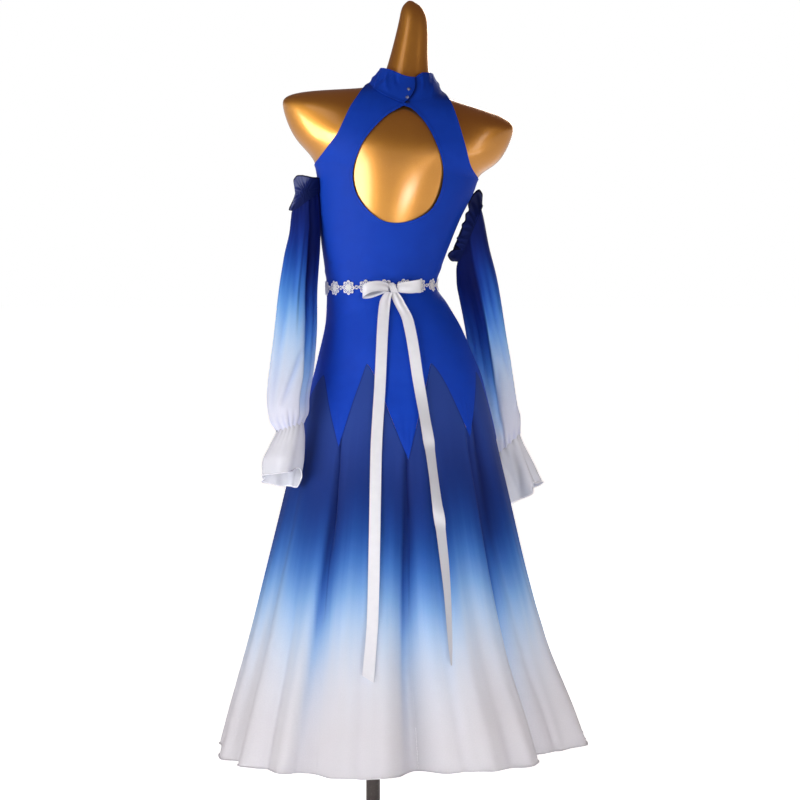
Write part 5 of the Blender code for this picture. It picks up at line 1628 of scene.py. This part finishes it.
def make_ruffle(side, rings, edge_table, lobes, lobe_depth, upright, pinned):
    """One ruffle, gathered on the sleeve's top ring, with lobes along its bound free edge."""
    top_height, x, y, half, depth, tilt = rings[-1]
    lean = math.radians(tilt)
    centre = np.array([x, y, top_height]) * MM
    axis = np.array([-math.sin(lean), 0.0, math.cos(lean)])
    side_way = np.array([math.cos(lean), 0.0, math.sin(lean)])
    rise_way = axis * (1 - upright) + np.array([0.0, 0.0, 1.0]) * upright

    def creased(points):
        """Height of the fanned creases at these points, from 0 to 1."""
        off_x, off_z = points[:, 0] - pinned[0] * MM, points[:, 2] - pinned[1] * MM
        ray = np.arctan2(-off_x, off_z)
        uneven = 1.6 * np.sin(7 * ray + 110.0 * np.hypot(off_x, off_z)) + 1.2 * np.sin(3 * ray)
        return 0.5 + 0.5 * np.sin(pinned[2] * ray + uneven)

    def place(across, down):
        turn, climb = 2 * math.pi * across, 1.0 - down
        out, shift, rise = rows_at(edge_table, 360.0 * across).T * MM
        wander = lobes * turn + 0.9 * np.sin(2 * turn) + 0.5 * np.sin(5 * turn)
        lobe = np.abs(np.sin(0.5 * wander)) ** 0.6
        rise = rise * (1 - lobe_depth * (1 - lobe) * climb**2)
        out = out * climb**1.4 + 16.0 * MM * lobe_depth * climb * np.sin(wander) + RUFFLE_CLEAR
        sway = 0.5 * lobe_depth * climb**1.5 * np.cos(wander)
        out_x = (half * MM + out) * np.sin(turn + sway) + shift * climb**1.6
        out_y = -(depth * MM + out) * np.cos(turn + sway)
        points = centre + out_x[:, None] * side_way - RUFFLE_TUCK * axis
        points = points + ((RUFFLE_TUCK + rise) * climb)[:, None] * rise_way
        points[:, 1] += out_y
        points[:, 1] -= RUFFLE_CREASE * creased(points) * np.cos(turn) * 4 * climb * down
        return points

    def from_edge(across, down):
        return down * (rows_at(edge_table, 360.0 * across)[:, 2] * MM + RUFFLE_TUCK)

    # Doubled layers, and painted shade in the crease valleys. It is darker towards the gathered end, and on
    # the left ruffle darker on the side by the body.
    def plies_and_shade(across, down):
        points = place(across, down)
        aslant = points[:, 0] / MM + 123.4 + 0.557 * (1323.4 - points[:, 2] / MM)
        body_side = 0.75 * smooth_step(-7.0, 9.0, aslant) * upright
        deep = (1 - creased(points)) ** 2 * (0.15 + 0.85 * smooth_step(0.1, 0.6, down))
        deep = deep + 0.35 * smooth_step(0.35, 1.0, down)
        loop = bell(points[:, 0] / MM - 222.0, 9.0) * smooth_step(0.55, 0.2, down)
        return np.clip(deep + body_side + (0.6 - 0.5 * loop) * (1 - upright), 0.0, 1.0)

    marks = {"edge": from_edge, "fold": plies_and_shade}
    ruffle = lay_sheet(f"navy_ruffle_{side}", RUFFLE_COLUMNS, RUFFLE_ROWS, place, RUFFLE_SIZE, marks)
    return close_tube(ruffle, RUFFLE_THICK)


for side, rings, edge_table, lobes, lobe_depth, upright, pinned, width, area in (
    ("left", LEFT_SLEEVE, LEFT_RUFFLE, 7, 0.02, 1.0, LEFT_PINNED, 0.28, 0.0095),
    ("right", RIGHT_SLEEVE, RIGHT_RUFFLE, 9, 0.05, 0.0, RIGHT_PINNED, 0.43, 0.0080),
):
    ruffle = make_ruffle(side, rings, edge_table, lobes, lobe_depth, upright, pinned)
    hand_in(ruffle, navy_chiffon, "navy_ruffle", f"sleeve_ruffle_{side}")


# ---------------------------------------------------------------- daisy lace belt
# Eighteen guipure daisies in a row round the waist, joined by short beaded bars. Each has eight loop
# petals of cord round a thin stitched filling, and a beaded centre.
WAIST = 1110 * MM
DAISIES, PETALS, FIRST_DAISY = 18, 8, 4.0
BELT_RISE = 3 * MM
BELT_OFF = 1.45 * MM
BELT_FACE = JERSEY_FACE + BELT_OFF
PETAL_LONG, PETAL_WIDE = 4.6 * MM, 3.3 * MM
PETAL_CORD, PETAL_FROM = 0.85 * MM, 9.0 * MM
HEART, HEART_RING, HEART_BEADS = 3.0 * MM, 3.3 * MM, 10
BAR_BEADS = ((-3.2, -3.0), (0.0, -3.4), (3.2, -3.0), (-3.2, 3.0), (0.0, 3.4), (3.2, 3.0))

lace_thread, tree, shader = new_material(
    "white_lace_thread", Sheen_Weight=0.25, Sheen_Roughness=0.4, Specular_IOR_Level=0.3
)
place = add_node(tree, "TexCoord").outputs["Object"]
thread = add_node(tree, "TexWave", {"Vector": place, "Scale": 520.0, "Distortion": 3.0, "Detail": 1.0})
thread = thread.outputs["Fac"]
white = mix_colour(tree, thread, (0.92, 0.93, 0.96), (0.99, 0.99, 1.0))
finish_shader(tree, shader, white, thread, (0.55, 0.75), thread, 0.10 * MM, 0.4)


def make_bead(radius, place):
    """A small bead of lace thread."""
    bpy.ops.mesh.primitive_uv_sphere_add(segments=8, ring_count=5, radius=radius)
    bead = bpy.context.object
    bead.data.transform(Matrix.Translation(place))
    return bead


bpy.ops.mesh.primitive_torus_add(
    major_radius=1.0, minor_radius=0.31, major_segments=18, minor_segments=5
)
petal_loop = bpy.context.object
bpy.ops.mesh.primitive_circle_add(vertices=14, radius=1.0, fill_type="NGON")
filling = bpy.context.object
bpy.ops.object.mode_set(mode="EDIT")
bpy.ops.mesh.inset(thickness=0.45, depth=0.10)
bpy.ops.mesh.poke()
bpy.ops.object.mode_set(mode="OBJECT")
filling.data.transform(Matrix.Diagonal((0.26, 1.0, 1.0, 1.0)))
use_modifier(filling, "SOLIDIFY", thickness=0.14, offset=0.0)
petal = join_pieces("petal", [petal_loop, filling])
cord = PETAL_CORD / 0.5
for vertex in petal.data.vertices:
    x, y, z = vertex.co
    narrowing = 1 - 0.26 * max(0.0, -y)
    vertex.co = (x * PETAL_WIDE * narrowing, PETAL_FROM + y * PETAL_LONG, z * cord)
pieces_of_daisy = [petal]
for turn in range(1, PETALS):
    copied = copy_of_mesh(petal.data, "petal")
    copied.data.transform(Matrix.Rotation(2 * math.pi * turn / PETALS, 4, "Z"))
    pieces_of_daisy.append(copied)
bpy.ops.mesh.primitive_uv_sphere_add(segments=16, ring_count=8, radius=HEART)
heart = bpy.context.object
heart.data.transform(Matrix.Diagonal((1.0, 1.0, 0.45, 1.0)))
pieces_of_daisy.append(heart)
for turn in range(HEART_BEADS):
    angle = 2 * math.pi * turn / HEART_BEADS
    across, up = HEART_RING * math.sin(angle), HEART_RING * math.cos(angle)
    pieces_of_daisy.append(make_bead(0.75 * MM, (across, up, 0.6 * MM)))
daisy = join_pieces("daisy", pieces_of_daisy)
bpy.ops.object.shade_smooth()


def on_belt(flat, middle_angle):
    """Bends flat points (across, up, out of the lace) on to the waist round a middle angle."""
    radius = rows_at(BODY, np.array([WAIST / MM]))[0, 1] * MM
    angle = middle_angle + np.degrees(flat[:, 0] / radius)
    height = WAIST + BELT_RISE * np.sin(np.radians(angle)) + flat[:, 1]
    return moved_out(on_torso, angle, height, BELT_FACE + 1.1 * MM + flat[:, 2])


def bent_copy(source, middle_angle, turned):
    """A copy of a flat lace piece, turned a little and bent round the waist."""
    made = copy_of_mesh(source.data, "lace")
    made.data.transform(Matrix.Rotation(turned, 4, "Z"))
    flat = np.empty(3 * len(made.data.vertices), np.float32)
    made.data.vertices.foreach_get("co", flat)
    points = on_belt(flat.reshape(-1, 3).astype(float), middle_angle)
    made.data.vertices.foreach_set("co", points.astype(np.float32).ravel())
    return made


beads = [make_bead(1.05 * MM, (across * 0.55 * MM, up * MM, 0.0)) for across, up in BAR_BEADS]
bpy.ops.mesh.primitive_torus_add(
    major_radius=2.2 * MM, minor_radius=0.6 * MM, major_segments=16, minor_segments=6, location=(0, 0, 0)
)
bar = join_pieces("bar", [*beads, bpy.context.object])
bpy.ops.object.shade_smooth()

belt_rng = np.random.default_rng(5)
laces = []
for number in range(DAISIES):
    middle = FIRST_DAISY + 360.0 * number / DAISIES
    laces.append(bent_copy(daisy, middle, belt_rng.uniform(-0.3, 0.3)))
    laces.append(bent_copy(bar, middle + 180.0 / DAISIES, 0.0))
bpy.data.objects.remove(daisy, do_unlink=True)
bpy.data.objects.remove(bar, do_unlink=True)
belt = join_pieces("daisy_lace_belt", laces)
hand_in(belt, lace_thread, "lace", "belt_trim")


# ---------------------------------------------------------------- satin bow
# A soft bow of satin ribbon on the belt at the back: a drooping loop, a flatter one, a wrapped knot
# and two long tails down the skirt, the right one twisted near its pointed end.
RIBBON = 0.5 * MM
CAD_RIBBON, TOUCH_GAP = 1.0 * MM, 0.35 * MM
BOW_ANGLE, BOW_HEIGHT = 11.0, 1107 * MM
BOW_KNOT = {"width": 15 * MM, "depth": 8 * MM, "height": 17 * MM}
BOW_KNOT_OFF, BOW_LOOP_OFF, BOW_LOOP_ROOT = 2.2 * MM, 1.5 * MM, 0.3
LACE = 1.2 * MM
BOW_LOOPS = {
    "left": (-1, 50, 15, 21, 9, 12, 8.0),
    "right": (1, 48, 14, 24, -3, 8, 1.0),
}
LOOP_COLUMNS, LOOP_ROWS = 120, 14
KNOT_COLUMNS, KNOT_ROWS = 96, 26
LOOP_SIZE, KNOT_SIZE, TAIL_WIDTH = (0.115, 0.025), (0.045, 0.015), 0.022
KNOT_THICK = 1.0 * MM
SATIN_THREADS, SATIN_GRAIN = 2600.0, 60.0
LEFT_TAIL = (
    (371, -4, 9, 22, 4), (480, 4, 8, 22, 0), (626, 7, 7, 22, -3), (779, 9, 6, 22, 0),
    (925, 17, 6, 22, 0), (1040, 22, 7, 22, 0), (1078, 25, 8, 21, 0), (1096, 31, 9, 15, 0),
)
RIGHT_TAIL = (
    (390, 147, 12, 5, 60), (430, 145, 11, 12, 48), (507, 141, 10, 17, 42), (590, 134, 9, 21, 38),
    (640, 128.5, 9, 22, 34), (664, 125.5, 9, 22, 8), (690, 121.5, 9, 22, 30), (745, 115, 9, 22, 40),
    (790, 109.5, 9, 22, 34), (812, 106.5, 9, 22, 10), (850, 100.5, 8, 22, 22), (925, 88, 6, 22, 0),
    (1040, 68, 7, 22, 0), (1078, 50, 8, 21, 0), (1095, 42, 8, 15, 0),
)
TAIL_ROWS, TAIL_COLUMNS = 200, 12
TAIL_CUT_REACH = 60

satin, tree, shader = new_material(
    "white_satin", Sheen_Weight=0.2, Sheen_Roughness=0.3, Specular_IOR_Level=0.6, Anisotropic=0.5
)
grain, height = woven_cloth(tree, SATIN_THREADS, SATIN_GRAIN)
white = mix_colour(tree, grain, (0.76, 0.78, 0.84), (0.85, 0.87, 0.92))
selvedge = ranged(tree, read_mark(tree, "edge"), (0.0, 1.1 * MM), (0.6, 0.0))
white = mix_colour(tree, selvedge, white, (0.55, 0.55, 0.62))
# Painted shade: the fold mark darkens the inside of the bow loops and the tail where it turns away.
white = mix_colour(tree, read_mark(tree, "fold"), white, (0.34, 0.36, 0.42))
finish_shader(tree, shader, white, grain, (0.30, 0.42), height, 0.015 * MM, 0.3)

bow_angle, bow_height = np.array([BOW_ANGLE]), np.array([BOW_HEIGHT])
bow_seat = Vector(moved_out(on_torso, bow_angle, bow_height, BELT_FACE + LACE + BOW_KNOT_OFF)[0])
bow_normal = bow_seat - Vector(on_torso(bow_angle, bow_height)[0])
bow_normal.z = 0.0
bow_normal.normalize()
bow_side = Vector((0.0, 0.0, 1.0)).cross(bow_normal)
bow_centre = bow_seat + bow_normal * (BOW_KNOT["depth"] / 2)


def bow_points(side, outward, up):
    """Points from the bow's centre: along it, out from the waist and up."""
    middle, across, out = np.array(bow_centre), np.array(bow_side), np.array(bow_normal)
    points = middle + side[:, None] * across + outward[:, None] * out
    points[:, 2] += up
    return points


def ribbon_edge(width):
    """Distance from the nearer selvedge, for a ribbon that runs across its sheet's columns."""
    return lambda across, down: np.minimum(down, 1 - down) * width


def make_bow_loop(name, side, reach, narrow, wide, droop, opening, tipped):
    """A ribbon bent out from the knot and back, pinched at the knot into soft pleats."""

    def place(across, down):
        turn = 2 * math.pi * across
        out_share = (1 - np.cos(turn)) / 2
        width = blend_to(narrow, wide, np.sin(out_share * math.pi / 2) ** 0.5) * MM
        along = BOW_KNOT["width"] / 2 + TOUCH_GAP + CAD_RIBBON + reach * MM * out_share
        lean = opening * MM * np.sin(turn) * blend_to(BOW_LOOP_ROOT, 1.0, out_share)
        share = 0.5 - down
        pleats = np.cos(3 * math.pi * share) * (1 - out_share) ** 1.5
        lean = lean + np.sign(np.sin(turn)) * 1.1 * MM * pleats * np.abs(np.sin(turn)) ** 0.5
        lean = lean + 1.0 * MM * np.sin(2.2 * turn + 4 * share) * out_share * (1 - out_share) * 2
        curl = 1.2 * MM * (2 * share) ** 2 * out_share
        up = width * share - droop * MM * out_share**2 + 1.2 * MM * np.sin(turn) * share
        up = up + tipped * MM * np.sin(turn) * out_share**0.5
        up = up + 1.5 * MM * np.sin(3 * turn) * out_share * share
        return bow_points(side * along, lean + BOW_LOOP_OFF + curl * np.sign(np.sin(turn)), up)

    def inside(across, down):
        """The shadowed inside of the loop, seen under its front layer."""
        behind = smooth_step(0.1, -0.3, np.sin(2 * math.pi * across))
        return 0.95 * behind * smooth_step(0.4 * tipped, 0.9 * tipped, (1 - down) * wide)

    marks = {"edge": ribbon_edge(LOOP_SIZE[1]), "fold": inside}
    loop = lay_sheet(f"satin_bow_loop_{name}", LOOP_COLUMNS, LOOP_ROWS, place, LOOP_SIZE, marks)
    return close_tube(loop, RIBBON)


for name, sizes in BOW_LOOPS.items():
    loop = make_bow_loop(name, *sizes)
    hand_in(loop, satin, "satin_ribbon", f"bow_loop_{name}")


def knot_place(across, down):
    """The wrap round the knot: a flattened roll, narrower in the middle and pleated aslant."""
    turn = 2 * math.pi * across
    share = 0.5 - down
    belly = 1 + 0.10 * (2 * share) ** 2 + 0.045 * np.cos(7 * math.pi * share + 1.6 * np.sin(turn) + turn)
    square = 1 / (np.abs(np.sin(turn)) ** 2.6 + np.abs(np.cos(turn)) ** 2.6) ** (1 / 2.6)
    up = 0.5 * BOW_KNOT["height"] * square * np.cos(turn) * belly
    outward = 0.5 * BOW_KNOT["depth"] * square * np.sin(turn) * belly
    slant = -0.30 * np.cos(turn) * BOW_KNOT["width"]
    return bow_points(-share * 0.9 * BOW_KNOT["width"] + slant, outward, up)


knot_marks = {"edge": ribbon_edge(KNOT_SIZE[1])}
knot = lay_sheet("satin_bow_knot", KNOT_COLUMNS, KNOT_ROWS, knot_place, KNOT_SIZE, knot_marks)
close_tube(knot, KNOT_THICK)
hand_in(knot, satin, "satin_ribbon", "bow_knot")


def make_tail(name, rows, cut, ripples):
    """A tail hung from the knot down the skirt, rippled a little, its end cut aslant."""
    end, top = rows[0][0], rows[-1][0]

    def place(across, down):
        height = blend_to(top, end, down) * MM
        x, off, width, turned = rows_at(rows, height / MM).T
        centre, half = rows_at(BODY, height / MM)[:, :2].T
        angle = np.degrees(np.arcsin((x - centre) / half))
        share = across - 0.5
        off = off.copy()
        for level, reach, depth in ripples:
            off += depth * bell(height / MM - level - 30 * share, reach)
        gathered = 1.4 * np.cos(3 * math.pi * share) * smooth_step(top - 70, top, height / MM)
        spine = moved_out(on_torso, angle, height, JERSEY_FACE + (off + gathered) * MM)
        turn = np.radians(turned)
        slant = cut * MM * np.maximum(0.0, 1 - (height / MM - end) / TAIL_CUT_REACH)
        spine[:, 0] += np.cos(turn) * width * MM * share
        spine[:, 1] += np.sin(turn) * width * MM * share
        spine[:, 2] += slant * share
        return spine

    # Painted shade, growing where the tail turns away from the lamps.
    def turned_shade(across, down):
        turned = rows_at(rows, blend_to(top, end, down))[:, 3]
        return 0.45 * np.clip(turned / 36.0, 0.0, 1.0)

    def from_selvedge(across, down):
        return np.minimum(across, 1 - across) * TAIL_WIDTH

    tail = lay_sheet(
        f"satin_tail_{name}",
        TAIL_COLUMNS,
        TAIL_ROWS,
        place,
        (TAIL_WIDTH, (top - end) * MM),
        {"edge": from_selvedge, "fold": turned_shade},
    )
    give_thickness(tail, RIBBON)
    return tail


LEFT_RIPPLES = ((930, 70, 1.6), (760, 60, -1.2), (600, 70, 1.6), (450, 60, 1.8))
RIGHT_RIPPLES = ((960, 60, 1.4), (820, 60, -1.0), (690, 50, 1.4), (560, 40, 1.6))
for name, rows, cut, ripples, flat in (
    ("left", LEFT_TAIL, -14, LEFT_RIPPLES, (0.022, 0.765)),
    ("right", RIGHT_TAIL, 0, RIGHT_RIPPLES, (0.022, 0.74)),
):
    tail = make_tail(name, rows, cut, ripples)
    hand_in(tail, satin, "satin_ribbon", f"ribbon_tail_{name}")
